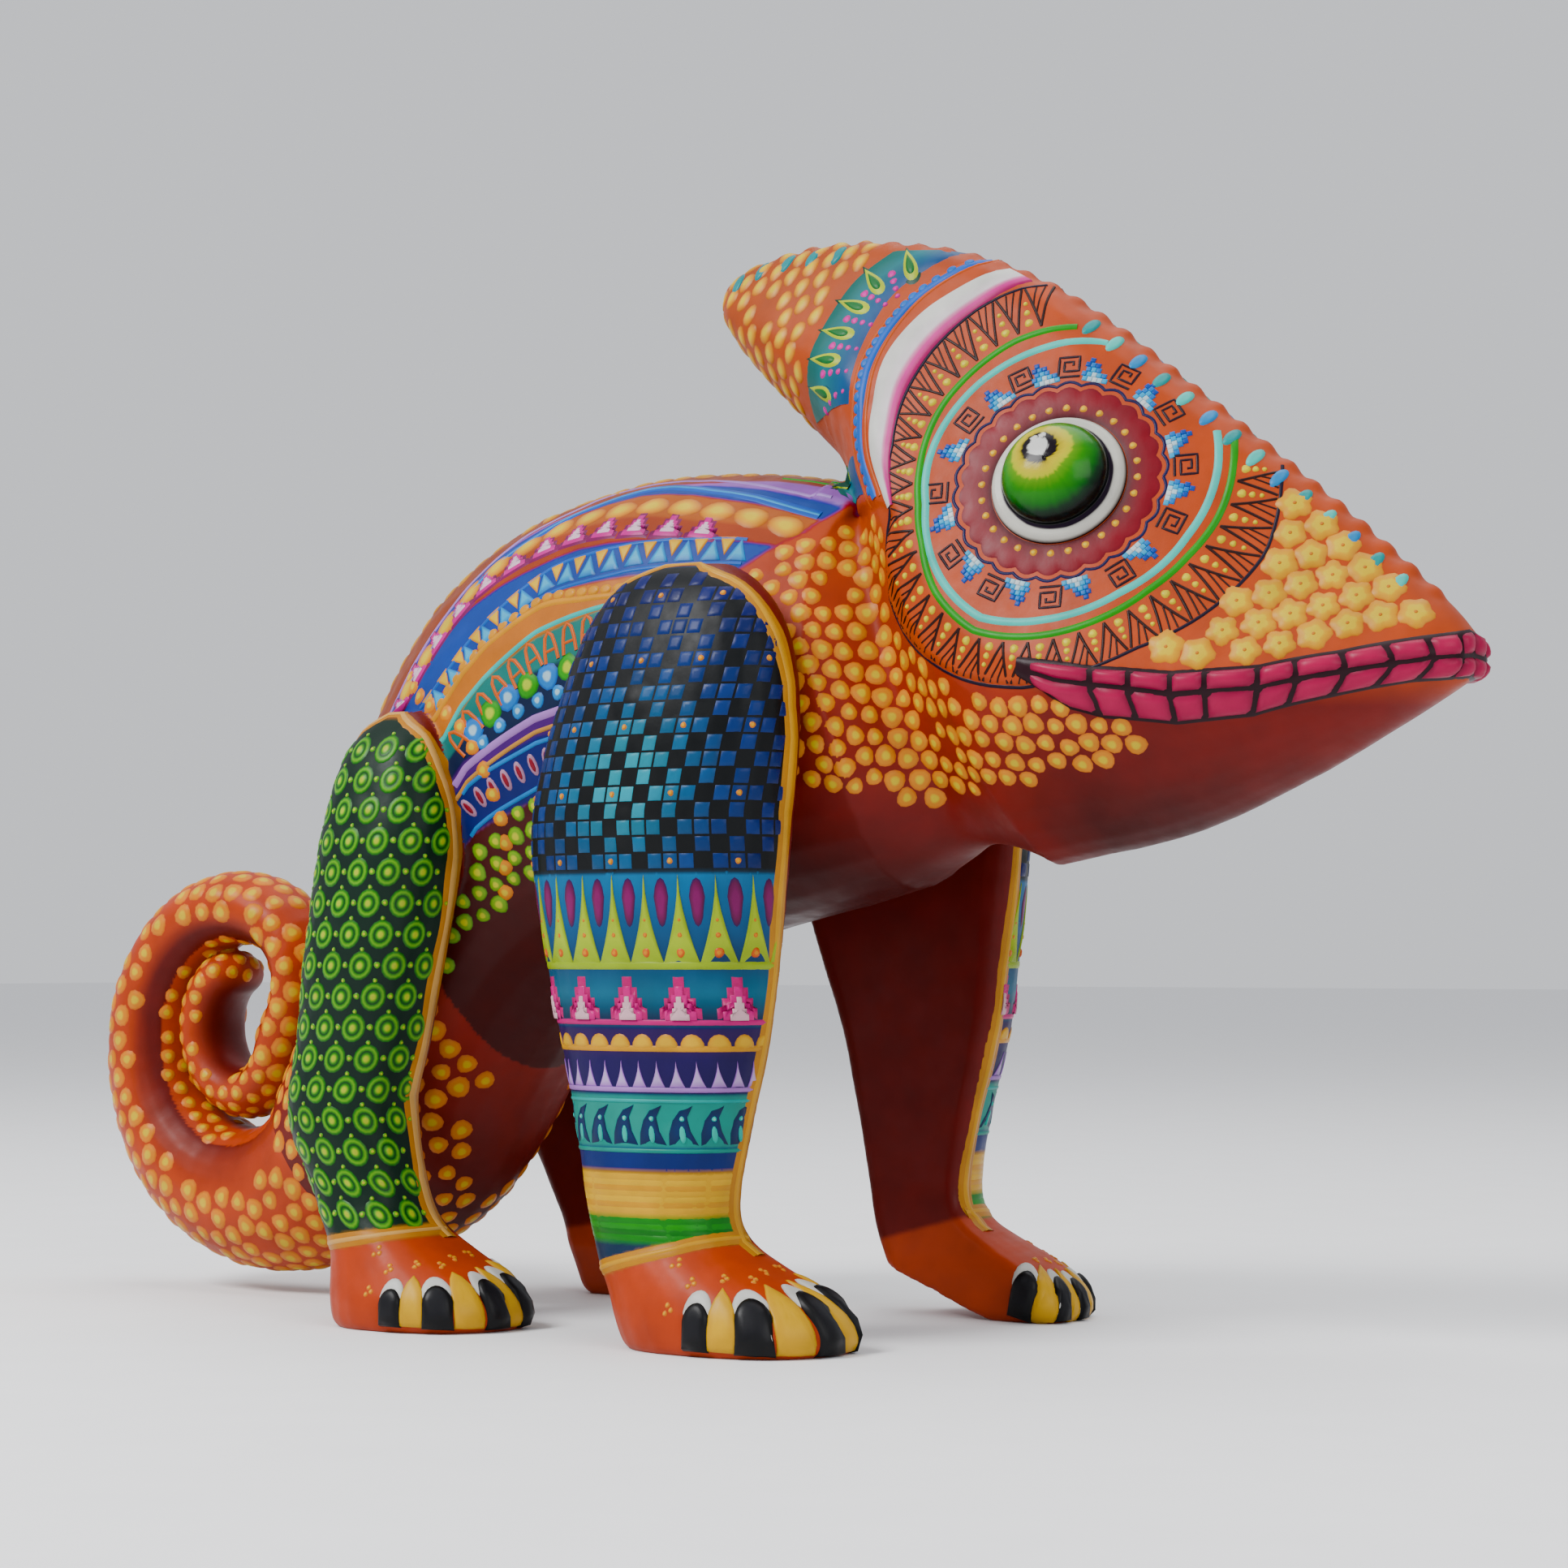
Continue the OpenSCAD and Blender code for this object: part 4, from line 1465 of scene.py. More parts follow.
def paint_neck_dots():
    """Dots from the head's edge down the neck and shoulder"""
    x, _, z = skin.middles.T
    along, angle = body_chart(skin.middles)
    torso = (skin.owner == "torso") & (along > read_off(NECK_FORE, angle)) & (x > 6)
    head = (skin.owner == "head") & (x < 96) & (x > 20)
    keep = (torso | head) & (own_cheek_depth(skin.middles) < -1.2) & (angle > 4)
    keep &= z > read_off(NECK_LOW, x)
    body_dots("paint_neck_dots", keep, lambda spots: read_off(NECK_GAPS, spots[:, 2]),
              lambda point: read_off(NECK_SIZES, point[2]), GLOW)


def paint_tail_dots():
    """Dots all round the outside of the coil, smaller towards its middle"""
    turn, outward = coil_place(skin.middles)
    turn = turn % 360
    outer_wrap = np.array([coil_radius(t if t < 320 else t - 360) for t in turn])
    inner_wrap = np.array([coil_radius(t + 360) for t in turn])
    on_outer = np.abs(outward - outer_wrap) < np.abs(outward - inner_wrap)
    middle = np.where(on_outer, outer_wrap, inner_wrap)
    keep = (skin.owner == "tail") & (outward > middle - np.where(on_outer, 2.4, 2))
    paint = Paint("paint_tail_dots", "tail_paint", "tail")
    dot_field(paint, keep & on_outer, 4.3, 1.72, EMBER, 1.1)
    dot_field(paint, keep & ~on_outer, 3.4, 1.25, EMBER, 1.1)
    paint.done()


def paint_rump_dots():
    """Dots over the rump and under the belly between the legs"""
    along, angle = body_chart(skin.middles)
    keep = (skin.owner == "torso") & (along < read_off(RUMP_REAR, angle))
    keep &= np.abs(skin.middles[:, 1]) < 40
    keep &= skin.normals[skin.faces[:, 0]][:, 0] < 0.75
    body_dots("paint_rump_dots", keep, 4.4, 1.6, EMBER)


def paint_flank_dots():
    """Lime dots under the blue panels, and gold dots along the crest of the back"""
    along, angle = body_chart(skin.middles)
    torso = skin.owner == "torso"
    lower = (angle > 120) & (angle < 139) & (along > 3.7) & (along < read_off(FLANK_FORE, angle))
    body_dots("paint_flank_dots", torso & lower, 3.7, 1.3, LIME_GLOW)
    crest = (angle < read_off(CREST_EDGE, along)) & (along > 2.0) & (along < 9.3)
    body_dots("paint_crest_dots", torso & crest, 4.0, 1.5, GOLD_GLOW)


# ---------------------------------------------------------------- face

# Lines round the eye: angle, radius
AQUA_LINE = [(4, 25.5), (19, 26), (50, 26), (81, 25.6), (103, 25), (129, 24.5), (157, 23.5), (188, 22.3),
             (221, 24.3), (245, 25.6), (270, 24.4), (301, 23.5), (335, 24), (364, 25.5), (379, 26)]
GREEN_LINE = [(17, 28.4), (50, 29), (87, 28.3), (112, 28.2), (143, 26.5), (171, 24.2), (187, 23.6),
              (204, 24.2), (223, 26.3), (245, 27.9), (271, 27), (310, 25.7), (328, 26), (344, 27),
              (377, 28.4)]
ZIGZAG_EDGE = [(97, 38.5), (119, 37.7), (133, 36), (149, 33.3), (164, 30.5), (186, 28.8), (197, 30.9),
               (207, 33.7), (218, 34.2), (245, 35.1), (266, 34.9), (297, 33.5), (316, 34.9), (339, 36.4),
               (365, 35.1)]
ZIGZAG_COUNT = 31
RING_LOBES = 26
RING_DOTS = 28
# Scalloped ring: radius, how far its lobes swell, height, colour
RING_ROWS = [(11.3, 0, 0.02, shade("5A0418")), (12.2, 0, 0.14, shade("7C061C")), (14.2, 0, 0.16, CRIMSON),
             (15.6, 0.5, 0.14, CRIMSON), (16.1, 0.9, -0.05, shade("7C0620"))]
# Stepped pyramids and square hooks between the ring and the aqua line: angles round the eye
PYRAMID_TURNS = (126, 102, 77, 47, 17, -9, -43, -76, -106, -134, -164, 159)
PYRAMID_TONES = [shade("F4FCFF"), PALE_BLUE, shade("7CC8F4"), shade("2C84DC"), shade("1450B8"),
                 shade("0C2E86")]
PYRAMID_FOOT = 17.9
HOOK_TURNS = (114, 91, 64, 35, 6, -22, -55, -88, -117, -144, -177, 144)
HOOK_MIDDLE = 20.6
HOOK = [(-1.9, -1.9), (1.7, -1.9), (1.7, 1.7), (-1.7, 1.7), (-1.7, -0.9), (0.8, -0.9), (0.8, 0.8),
        (-0.7, 0.8), (-0.7, 0.1)]
STEP_CELL = 0.86


def polar_path(stops, side, first, last):
    """Places along a curve given by angle and radius about the eye"""
    turns = np.linspace(first, last, (last - first) // 3)
    return [eye_ring(turn, read_off(stops, turn), side) for turn in turns]


def eye_local(turn, radius, side):
    """Function that gives the skin under (sideways, outwards) offsets at a place round the eye"""
    swing = math.radians(turn)
    radial = np.array([math.cos(swing), math.sin(swing)])
    tangent = np.array([-radial[1], radial[0]])

    def place(across, outward):
        a, b = radial * (radius + outward) + tangent * across
        return eye_place(a, b, side)
    return place


def patch(paint, place, outline, layers):
    """Dab whose outline is given in a chart. Layers are (share, height, colour)."""
    middle = np.mean(outline, axis=0)
    rows = []
    for share, height, _ in layers:
        row = []
        for corner in outline:
            spot = place(*(middle + (np.array(corner) - middle) * share))
            if spot is None:
                return
            row.append(spot[0] + spot[1] * height)
        rows.append(row)
    paint.dab(rows, layers)


def box_outline(across, level, half, half_up=None):
    """Outline of a square or an upright box"""
    half_up = half if half_up is None else half_up
    return [(across + sx * half, level + sy * half_up)
            for sx, sy in ((-1, -1), (0, -1), (1, -1), (1, 0), (1, 1), (0, 1), (-1, 1), (-1, 0))]


def dense(corners, step):
    """Open line through corners with points at a close step"""
    points = [np.array(corners[0], float)]
    for a, b in zip(corners, corners[1:]):
        a, b = np.array(a, float), np.array(b, float)
        count = max(1, int(np.linalg.norm(b - a) / step))
        points += [a + (b - a) * k / count for k in range(1, count + 1)]
    return points


def between(start, end, count):
    """Evenly spread places from a start to an end in a chart"""
    return [(start[0] + (end[0] - start[0]) * i / count, start[1] + (end[1] - start[1]) * i / count)
            for i in range(count + 1)]


def paint_eye_ring(paint, side):
    """Scalloped crimson ring with dots on it, and a thin navy edge"""
    turns = np.linspace(0, 360, 6 * RING_LOBES, endpoint=False)
    rows = [[] for _ in RING_ROWS]
    for turn in turns:
        lobe = abs(math.sin(math.radians(turn * RING_LOBES / 2)))
        for row, (radius, swell, height, _) in zip(rows, RING_ROWS):
            spot = eye_ring(turn, radius + swell * lobe, side)
            row.append(spot[0] + spot[1] * height)
    paint.sheet(rows, [[tone] * len(turns) for _, _, _, tone in RING_ROWS], closed=True)
    rim = [eye_ring(t, 17.0 + 0.7 * abs(math.sin(math.radians(t * RING_LOBES / 2))), side)
           for t in np.linspace(0, 360, len(turns) + 1)]
    paint.stroke(rim, 0.55, shade("1A1450"), 0.1)
    for k in range(RING_DOTS):
        dot(paint, eye_ring(k * 360 / RING_DOTS, 12.9, side), 0.62,
            shades("E07008", "FFB010", "FFE068"), 0.34)


def paint_greca(paint, side):
    """Stepped pyramids and square hooks in turn round the eye"""
    for turn in PYRAMID_TURNS:
        place = eye_local(turn, PYRAMID_FOOT, side)
        for level, half in enumerate((2, 2, 1, 1, 0)):
            for column in range(-half, half + 1):
                cell = box_outline(column * STEP_CELL + 0.35 * level, (level + 0.5) * STEP_CELL,
                                   STEP_CELL * 0.5)
                tone = PYRAMID_TONES[min(5, level + abs(column))]
                patch(paint, place, cell, [(1.0, 0.02, tone), (0.85, 0.16, tone), (0.5, 0.18, tone)])
    for turn in HOOK_TURNS:
        place = eye_local(turn, HOOK_MIDDLE, side)
        paint.stroke([place(*p) for p in dense(HOOK, 0.6)], 0.5, shade("2A0E1E"), 0.12)


def paint_zigzag(paint, side):
    """Band of hatched triangles with rows of dots between them"""
    turns = np.linspace(98, 363, 500)
    radii = read_off(ZIGZAG_EDGE, turns)
    swings = np.radians(turns)
    lengths = distances(np.stack([radii * np.cos(swings), radii * np.sin(swings)], axis=1))
    pitch = lengths[-1] / ZIGZAG_COUNT
    brown = shade("30100C")

    def place(share, turn):
        inner = read_off(GREEN_LINE, turn) + 0.9
        outer = np.interp(turn, turns, radii) - 0.4
        return eye_ring(turn, inner + (outer - inner) * share, side)

    def line(start, end, count, width, height):
        paint.stroke([place(*p) for p in between(start, end, count)], width, brown, height)

    for k in range(ZIGZAG_COUNT):
        left, middle, right = (np.interp((k + at) * pitch, lengths, turns) for at in (0.06, 0.5, 0.94))
        line((1, left), (0.02, middle), 6, 0.5, 0.14)
        line((0.02, middle), (1, right), 6, 0.5, 0.14)
        for j in (1, 2):
            foot = 0.16 + 0.2 * j
            line((1, left + (right - left) * j / 3 * 0.9), (foot, middle + (right - middle) * foot * 0.9),
                 5, 0.32, 0.12)
        gap_turn = np.interp((k + 1) * pitch, lengths, turns)
        for share, radius in ((0.18, 0.62), (0.42, 0.46), (0.64, 0.34)):
            dot(paint, place(share, gap_turn), radius, shades("D8A008", "F0D810", "FFF060"),
                0.25)
    paint.stroke(polar_path(ZIGZAG_EDGE, side, 97, 365), 0.6, shade("1A0A28"), 0.14)


# Lines over the casque in the eye's plane, from the ridge down to the nape
WHITE_REAR = [(-11, 43.5), (-22.1, 38.1), (-28.6, 33.3), (-33.3, 25.7), (-34.1, 16.4), (-33.6, 7.8),
              (-29.2, -2.5)]
WHITE_FRONT = [(-6.5, 40), (-16, 34.5), (-24.2, 27), (-28.2, 18.5), (-29.2, 9.5), (-28.9, 3),
               (-27.9, -2.5)]
TEAL_FRONT = [(-21.5, 46.5), (-32.3, 39.9), (-36.5, 32.8), (-38.4, 24.8), (-38.7, 17), (-37.6, 8.6),
              (-35, 2)]
TEAL_REAR = [(-36, 48), (-42, 43), (-46, 36), (-49, 28), (-50, 21), (-48.5, 14), (-43, 7)]
DROPS = [(-31.9, 44.5), (-38.2, 42), (-41.2, 37.5), (-43.3, 32.4), (-45, 27.4), (-46, 22.8), (-46, 18.2),
         (-44.6, 13.6), (-42, 9.4)]
WHITE_STOPS = [(0, WHITE), (0.3, WHITE), (0.58, shade("FFF4F8")), (0.66, shade("F8B0D0")),
               (0.8, shade("E85AA8")), (0.88, MAGENTA), (1, shade("A80A5A"))]
TEAL_STOPS = [(0, shade("1A6A60")), (0.2, shade("14706C")), (0.4, TEAL), (0.6, shade("0E6A86")),
              (0.8, shade("0A5A90")), (1, shade("0A4A88"))]
# Each drop is laid in three: length, width, colour, height
DROP_LAYERS = [(10.2, 5.0, shade("0C4A3A"), 0.1), (8.4, 4.0, shade("C8DC20"), 0.2),
               (5.4, 2.3, shade("0E7A34"), 0.27)]
BANNER_ROWS = 44
BANNER_STEP = 4.0  # a wider gap between two rows of a band is a step in the skin


def eye_line(line, count, side):
    """Places along a smooth line in the eye's plane"""
    return [eye_place(a, b, side) for a, b in curve(line, count)]


def widest_gap(points, others):
    """Largest distance between points and their partners"""
    return max(np.linalg.norm(b - a) for a, b in zip(points, others))


def banner(paint, rear, front, stops, side, height=0.12):
    """Band between two lines, with colours that change across it. It breaks off where the skin
    under it steps away."""
    shares = [0.0, 0.08] + [s for s, _ in stops[1:-1]] + [0.92, 1.0]
    tone = [ramp(stops, share) for share in shares]
    runs = [[]]
    for rear_spot, front_spot in zip(curve(rear, BANNER_ROWS), curve(front, BANNER_ROWS)):
        across = front_spot - rear_spot
        spots = [eye_place(*(rear_spot + across * share), side) for share in shares]
        whole = all(spot is not None for spot in spots)
        if whole:
            lifts = [-0.04] + [height] * (len(shares) - 2) + [-0.04]
            row = [point + normal * lift for (point, normal), lift in zip(spots, lifts)]
            whole = widest_gap(row, row[1:]) < 0.8 * np.linalg.norm(across)
        if whole and runs[-1]:
            whole = widest_gap(row, runs[-1][-1]) < BANNER_STEP
        if whole:
            runs[-1].append(row)
        elif runs[-1]:
            runs.append([])
    for rows in runs:
        if len(rows) > 1:
            paint.sheet(rows, [tone] * len(rows))


def paint_ribbon(paint, side):
    """Blue ribbon with lobes along its rear edge, between two orange lines"""
    ribbon = [((a0 + a1) / 2, (b0 + b1) / 2) for (a0, b0), (a1, b1) in zip(WHITE_REAR, TEAL_FRONT)]
    line = eye_line(ribbon, 50, side)
    paint.stroke(line, 1.5, shade("0A68D8"), 0.2)
    for shift in (-1.6, 1.3):
        paint.stroke(eye_line([(a + shift, b) for a, b in ribbon], 50, side), 0.7, shade("D85A0A"), 0.14)
    for before, spot, after in list(zip(line, line[1:], line[2:]))[::2]:
        if before is None or spot is None or after is None:
            continue
        ahead = after[0] - before[0]
        back = np.cross(spot[1], ahead)
        back *= -np.sign(back[0]) / max(np.linalg.norm(back), 1e-9)
        lobe = skin.nearest(spot[0] + back * 0.8)
        paint.blob(lobe[:2], ahead, circle(0.95, 0.7, 10), flat_dab(shade("0A74D8"), 0.18))


def paint_drops(paint, side):
    """Drops with pink dots between them, down the teal field"""
    line = curve(DROPS, len(DROPS))
    last = len(line) - 1
    _, forward, up, out = eye_axes(side)
    for i, (a, b) in enumerate(line):
        spot = eye_place(a, b, side)
        if spot is None or spot[1] @ out < 0.5:
            continue
        ahead = line[min(i + 1, last)] - line[max(i - 1, 0)]
        ahead /= np.linalg.norm(ahead)
        point_way = forward * ahead[1] - up * ahead[0]
        if point_way @ forward > 0:
            point_way = -point_way
        for length, width, colour, height in DROP_LAYERS:
            paint.blob(spot, point_way, teardrop(length, width), flat_dab(colour, height))
        if i == last:
            continue
        way = line[i + 1] - line[i]
        across = np.array([-way[1], way[0]]) / np.linalg.norm(way)
        across = across if across[0] > 0 else -across
        for k, radius in enumerate((0.42, 0.55, 0.68, 0.8)):
            at = (line[i] + line[i + 1]) / 2 + across * (5.6 - 1.75 * k)
            dot(paint, eye_place(*at, side), radius, shades("7A1058", "E030A0", "F870C8"),
                0.22)


def paint_casque(paint, side):
    """White and pink band, blue ribbon, and teal field with drops"""
    banner(paint, TEAL_REAR, TEAL_FRONT, TEAL_STOPS, side)
    banner(paint, WHITE_REAR, WHITE_FRONT, WHITE_STOPS, side, height=0.2)
    paint_ribbon(paint, side)
    paint_drops(paint, side)


def paint_casque_ovals():
    """Glowing ovals that cover the casque's tip on both sides"""
    points = skin.middles
    paint = Paint("paint_casque_ovals", "head_paint")
    keep = np.zeros(len(points), bool)
    rear = curve(TEAL_REAR, 30)[::-1, ::-1]
    for side in SIDES.values():
        a, b = eye_plane(points, side).T
        keep |= (points[:, 1] * side > -0.5) & (a < read_off(rear, b) - 2.2) & (b > 6)
    keep &= (skin.owner == "head") & (points[:, 2] > 143)
    for point, normal, _ in scatter(keep, 3.75):
        paint.blob((point, normal), (0.35, 0, 1), circle(1.75, 1.15, 12, 0.05),
                   [(1.3, -0.05, shade("A84A08")), (1.0, 0.12, shade("E88C18")), (0.6, 0.24, YOLK),
                    (0.35, 0.28, CREAM)])
    paint.done()


# Petals beside the ridge: pitch, and where along x the eye's band leaves it bare
PETALS = (AQUA, shade("2A9AE0"), shade("1AA8A8"))
CASQUE_PETAL = shade("1A9AA0")
PETAL_PITCH = 5.4
PETAL_BARE = (34, 78)


def paint_ridge(paint, side):
    """Pale petals on each side of the ridge, from the casque to the snout"""
    line = curve(HEAD_RIDGE, 300)
    lengths = distances(line)
    for k, at in enumerate(np.arange(5.5, lengths[-1] - 2, PETAL_PITCH)):
        (x, ahead_x), (z, ahead_z) = (np.interp((at, at + 1), lengths, line[:, j]) for j in (0, 1))
        if PETAL_BARE[0] < x < PETAL_BARE[1]:
            continue
        point, normal, _ = skin.nearest((x - 1.2, side * 3.6, z - 1.6))
        way = np.array([0, side, -0.9]) - 0.35 * np.array([ahead_x - x, 0, ahead_z - z])
        colour = PETALS[k % 3] if x > 60 else CASQUE_PETAL
        paint.blob((point, normal), way, circle(2.3, 1.05, 14), flat_dab(colour, 0.26))


def cloud(radius):
    """Outline of a small cloud with five lobes"""
    start = random.uniform(0, 2 * math.pi)
    points = []
    for turn in turns_round(20):
        out = radius * (0.78 + 0.26 * abs(math.cos(2.5 * turn + start)))
        points.append((out * math.cos(turn), out * math.sin(turn)))
    return points


def paint_clouds():
    """Yellow clouds between the zigzag band and the snout"""
    points = skin.middles
    keep = np.zeros(len(points), bool)
    for side in SIDES.values():
        a, b = eye_plane(points, side).T
        turn = np.degrees(np.arctan2(b, a)) % 360
        turn = np.where(turn < 90, turn + 360, turn)
        beyond = np.hypot(a, b) > read_off(ZIGZAG_EDGE, turn) + 1.7
        keep |= (points[:, 1] * side > 0) & beyond & (a > 6) & (turn > 270)
    x, _, z = points.T
    keep &= (skin.owner == "head") & (x > 84) & (x < 141)
    keep &= (z < read_off(HEAD_RIDGE, x) - 3.6) & (z > mouth_level(points) + 2.5)
    paint = Paint("paint_clouds", "head_paint")
    for point, normal, _ in scatter(keep, 5.0):
        size = random.uniform(2.5, 2.9)
        paint.blob((point, normal), (0, 0, 1), cloud(size),
                   [(1.08, -0.06, shade("E07808")), (0.95, 0.16, shade("F4A000")),
                    (0.62, 0.24, shade("FBB808")), (0.5, 0.32, shade("FFD830"))])
        paint.blob((point, normal), (0, 0, 1), circle(0.34), flat_dab(shade("E88A10"), 0.4))
    paint.done()


# Where one block of a lip ends and the next begins, as distance from the mouth's corner
LIP_JOINS = [1.5, 12, 17.4, 24.5, 29.8, 37.4, 43.7, 50, 56.7, 62, 67, MOUTH_LENGTH]
LIP_ROWS = 9
LIP_LIFT = 1.0125


def mouth_level(points):
    """Height of the upper lip's edge, for points on the head"""
    turn = -np.degrees(np.arctan2(np.abs(points[:, 1]), points[:, 0] - MOUTH_MIDDLE[0]))
    return read_off(MOUTH_TOP, read_off([(angle, at) for at, angle in MOUTH_TURN], turn))


def lip_place(at, level, side):
    """Place on the skin at a distance round the mouth and a height"""
    turn = math.radians(read_off(MOUTH_TURN, at))
    out = np.array([math.cos(turn), -side * math.sin(turn), 0])
    return skin.ray(np.array([*MOUTH_MIDDLE, level]), out, 80)[:2]


def paint_lip_block(paint, side, start, end, low_line, top_line):
    """One pillowed block of a lip"""
    rows, tones = [], []
    for i in range(LIP_ROWS):
        share = i / (LIP_ROWS - 1)
        at = start + 0.28 + (end - start - 0.56) * share
        low, top = read_off(low_line, at) + 0.22, read_off(top_line, at) - 0.22
        swell = math.sin(math.pi * share) ** 0.35 if 0 < i < LIP_ROWS - 1 else 0
        row, tone = [], []
        for j in range(7):
            rise = swell * math.sin(math.pi * j / 6) ** 0.4 if 0 < j < 6 else 0
            point, normal = lip_place(at, low + (top - low) * j / 6, side)
            row.append(point + normal * (0.3 + LIP_LIFT * rise))
            tone.append(mix(shade("7A0838"), LIP, 0.35 + 0.65 * rise))
        rows.append(row)
        tones.append(tone)
    paint.sheet(rows, tones)


def paint_lips(paint, side):
    """Two rows of pillowed pink blocks over a black mouth line"""
    rows = []
    for at in np.linspace(0, MOUTH_LENGTH, 60):
        top, low = read_off(MOUTH_TOP, at) + 0.5, read_off(MOUTH_LOW, at) - 0.5
        row = []
        for share in (0, 0.12, 0.35, 0.5, 0.65, 0.88, 1):
            point, normal = lip_place(at, low + (top - low) * share, side)
            row.append(point + normal * (-0.05 if share in (0, 1) else 0.45))
        rows.append(row)
    paint.sheet(rows, [[shade("2A0614")] * len(row) for row in rows])
    for low_line, top_line in ((MOUTH_MID, MOUTH_TOP), (MOUTH_LOW, MOUTH_MID)):
        for start, end in zip(LIP_JOINS, LIP_JOINS[1:]):
            paint_lip_block(paint, side, start, end, low_line, top_line)


def paint_face(side_name):
    """Everything painted on one side of the face"""
    side = SIDES[side_name]
    paint = Paint("paint_face_" + side_name, "head_paint")
    paint_eye_ring(paint, side)
    paint_greca(paint, side)
    paint.stroke(polar_path(AQUA_LINE, side, 78, 379), 1.35, AQUA, 0.2)
    paint.stroke(polar_path(GREEN_LINE, side, 90, 376), 1.25, GREEN, 0.2)
    paint_zigzag(paint, side)
    paint_casque(paint, side)
    paint_ridge(paint, side)
    paint_lips(paint, side)
    paint.done()


# ---------------------------------------------------------------- legs

# Chequers: where the first row is, how far apart they are, the glow's middle and its tones outwards
CHECKER_ROW, CHECKER_RISE, CHECKER_PITCH = 78.2, 2.7, 2.8
GLOW_MIDDLE = (1.5, 91)
CHECKER_TONES = [(0, shade("58B8C8")), (6, shade("3A98AC")), (12, shade("1E6494")), (19, shade("153A80")),
                 (32, shade("0E1A66"))]
SPIKE_PITCH = 6.2
PYRAMID_PITCH = 9.6
# Stepped pyramids in three layers: half width, rise of a step, colour, height
PYRAMID_LAYERS = [(3.7, 1.75, shade("D81C7C"), 0.14), (2.7, 1.35, shade("F070A8"), 0.36),
                  (1.6, 0.95, shade("FFD8E0"), 0.58)]
GOLD = shade("F0A818")
# Lines straight across the front leg: height, width, colour
LEG_LINES = [(48.2, 1.0, GOLD), (41.6, 0.8, LILAC), (31.8, 0.7, shade("12A090")),
             (39.8, 0.6, shade("2AB8B0"))]
# Brushed bands above the cuff: top, foot, colours
LEG_BANDS = [(28.0, 21.8, (YELLOW, shade("FFC61C"), shade("EFA800"))),
             (21.0, 17.4, shades("129018", "1CA020", "0E7E18"))]
LEAF, MID_GREEN, DEEP_GREEN = shade("7AC040"), shade("3A8A2A"), shade("14561C")
RING_LAYERS = [(2.25, 0.02, DEEP_GREEN), (2.0, 0.12, MID_GREEN), (1.7, 0.16, LEAF), (1.35, 0.16, MID_GREEN),
               (1.15, 0.1, shade("0A4018")), (0.8, 0.16, MID_GREEN), (0.6, 0.22, LEAF),
               (0.35, 0.26, shade("C8DC20"))]
RING_PITCH, RING_RISE = 5.9, 5.3
BORDER_FOOT = 15


def leg_place(chart):
    """Chart function that holds shapes inside the painted outer face"""
    def place(across, level):
        low, high = chart.border(level)
        return chart.place(min(max(across, low), high), level)
    return place


def in_leg(chart, across, level, half):
    """Whether a shape of some half width touches the outer face, or lies inside it if negative"""
    low, high = chart.border(level)
    return low - half < across < high + half


def oval(across, level, half, half_up, count):
    """Outline of an ellipse in a chart"""
    return [(across + half * math.cos(t), level + half_up * math.sin(t)) for t in turns_round(count)]


def arch(across, level, half, rise, count):
    """Upper half of an ellipse in a chart"""
    return [(across + half * math.cos(t), level + rise * math.sin(t))
            for t in np.linspace(0, math.pi, count)]


def scaled_spike(across, low, top, half):
    """Outline of a spike with hollow sides and its point up"""
    left = [(across - half * (1 - k / 5) ** 1.7, low + (top - low) * k / 5) for k in range(6)]
    return left + [(2 * across - x, level) for x, level in left[-2::-1]]


def stepped(across, low, half, steps, rise):
    """Outline of a stepped pyramid"""
    left, right = [], []
    for k in range(steps):
        reach = half * (steps - k) / steps
        left += [(across - reach, low + k * rise), (across - reach, low + (k + 1) * rise)]
        right += [(across + reach, low + k * rise), (across + reach, low + (k + 1) * rise)]
    return left + right[::-1]


def across_leg(paint, place, ends, level, width, colour, height=0.16, step=1.2):
    """Brush line straight across the outer face"""
    low, high = ends
    line = [place(*p) for p in dense([(low, level), (high, level)], step)]
    paint.stroke(line, width, colour, height)


def paint_checker(paint, chart, place):
    """Chequered field that glows from teal in the middle to royal blue at its edge"""
    for j in range(19):
        for i in range(-16, 17):
            level = CHECKER_ROW + j * CHECKER_RISE
            across = i * CHECKER_PITCH
            spotted = i % 2 == 0 and j % 2 == 0 and (i // 2 + j // 2) % 2 == 0
            if not ((i + j) % 2 or spotted) or not in_leg(chart, across, level, -0.8):
                continue
            away = math.hypot(across - GLOW_MIDDLE[0], level - GLOW_MIDDLE[1])
            colour = ramp(CHECKER_TONES, away) * random.uniform(0.8, 1.2)
            patch(paint, place, box_outline(across, level, 1.2, 1.17),
                  [(1.0, 0.01, colour), (0.88, 0.12, colour), (0.4, 0.14, colour)])
            if spotted and (i // 2) % 2 == 0:
                dot(paint, place(across, level), 0.5, shades("C86A20", "F09840", "FFC878"),
                    0.36)


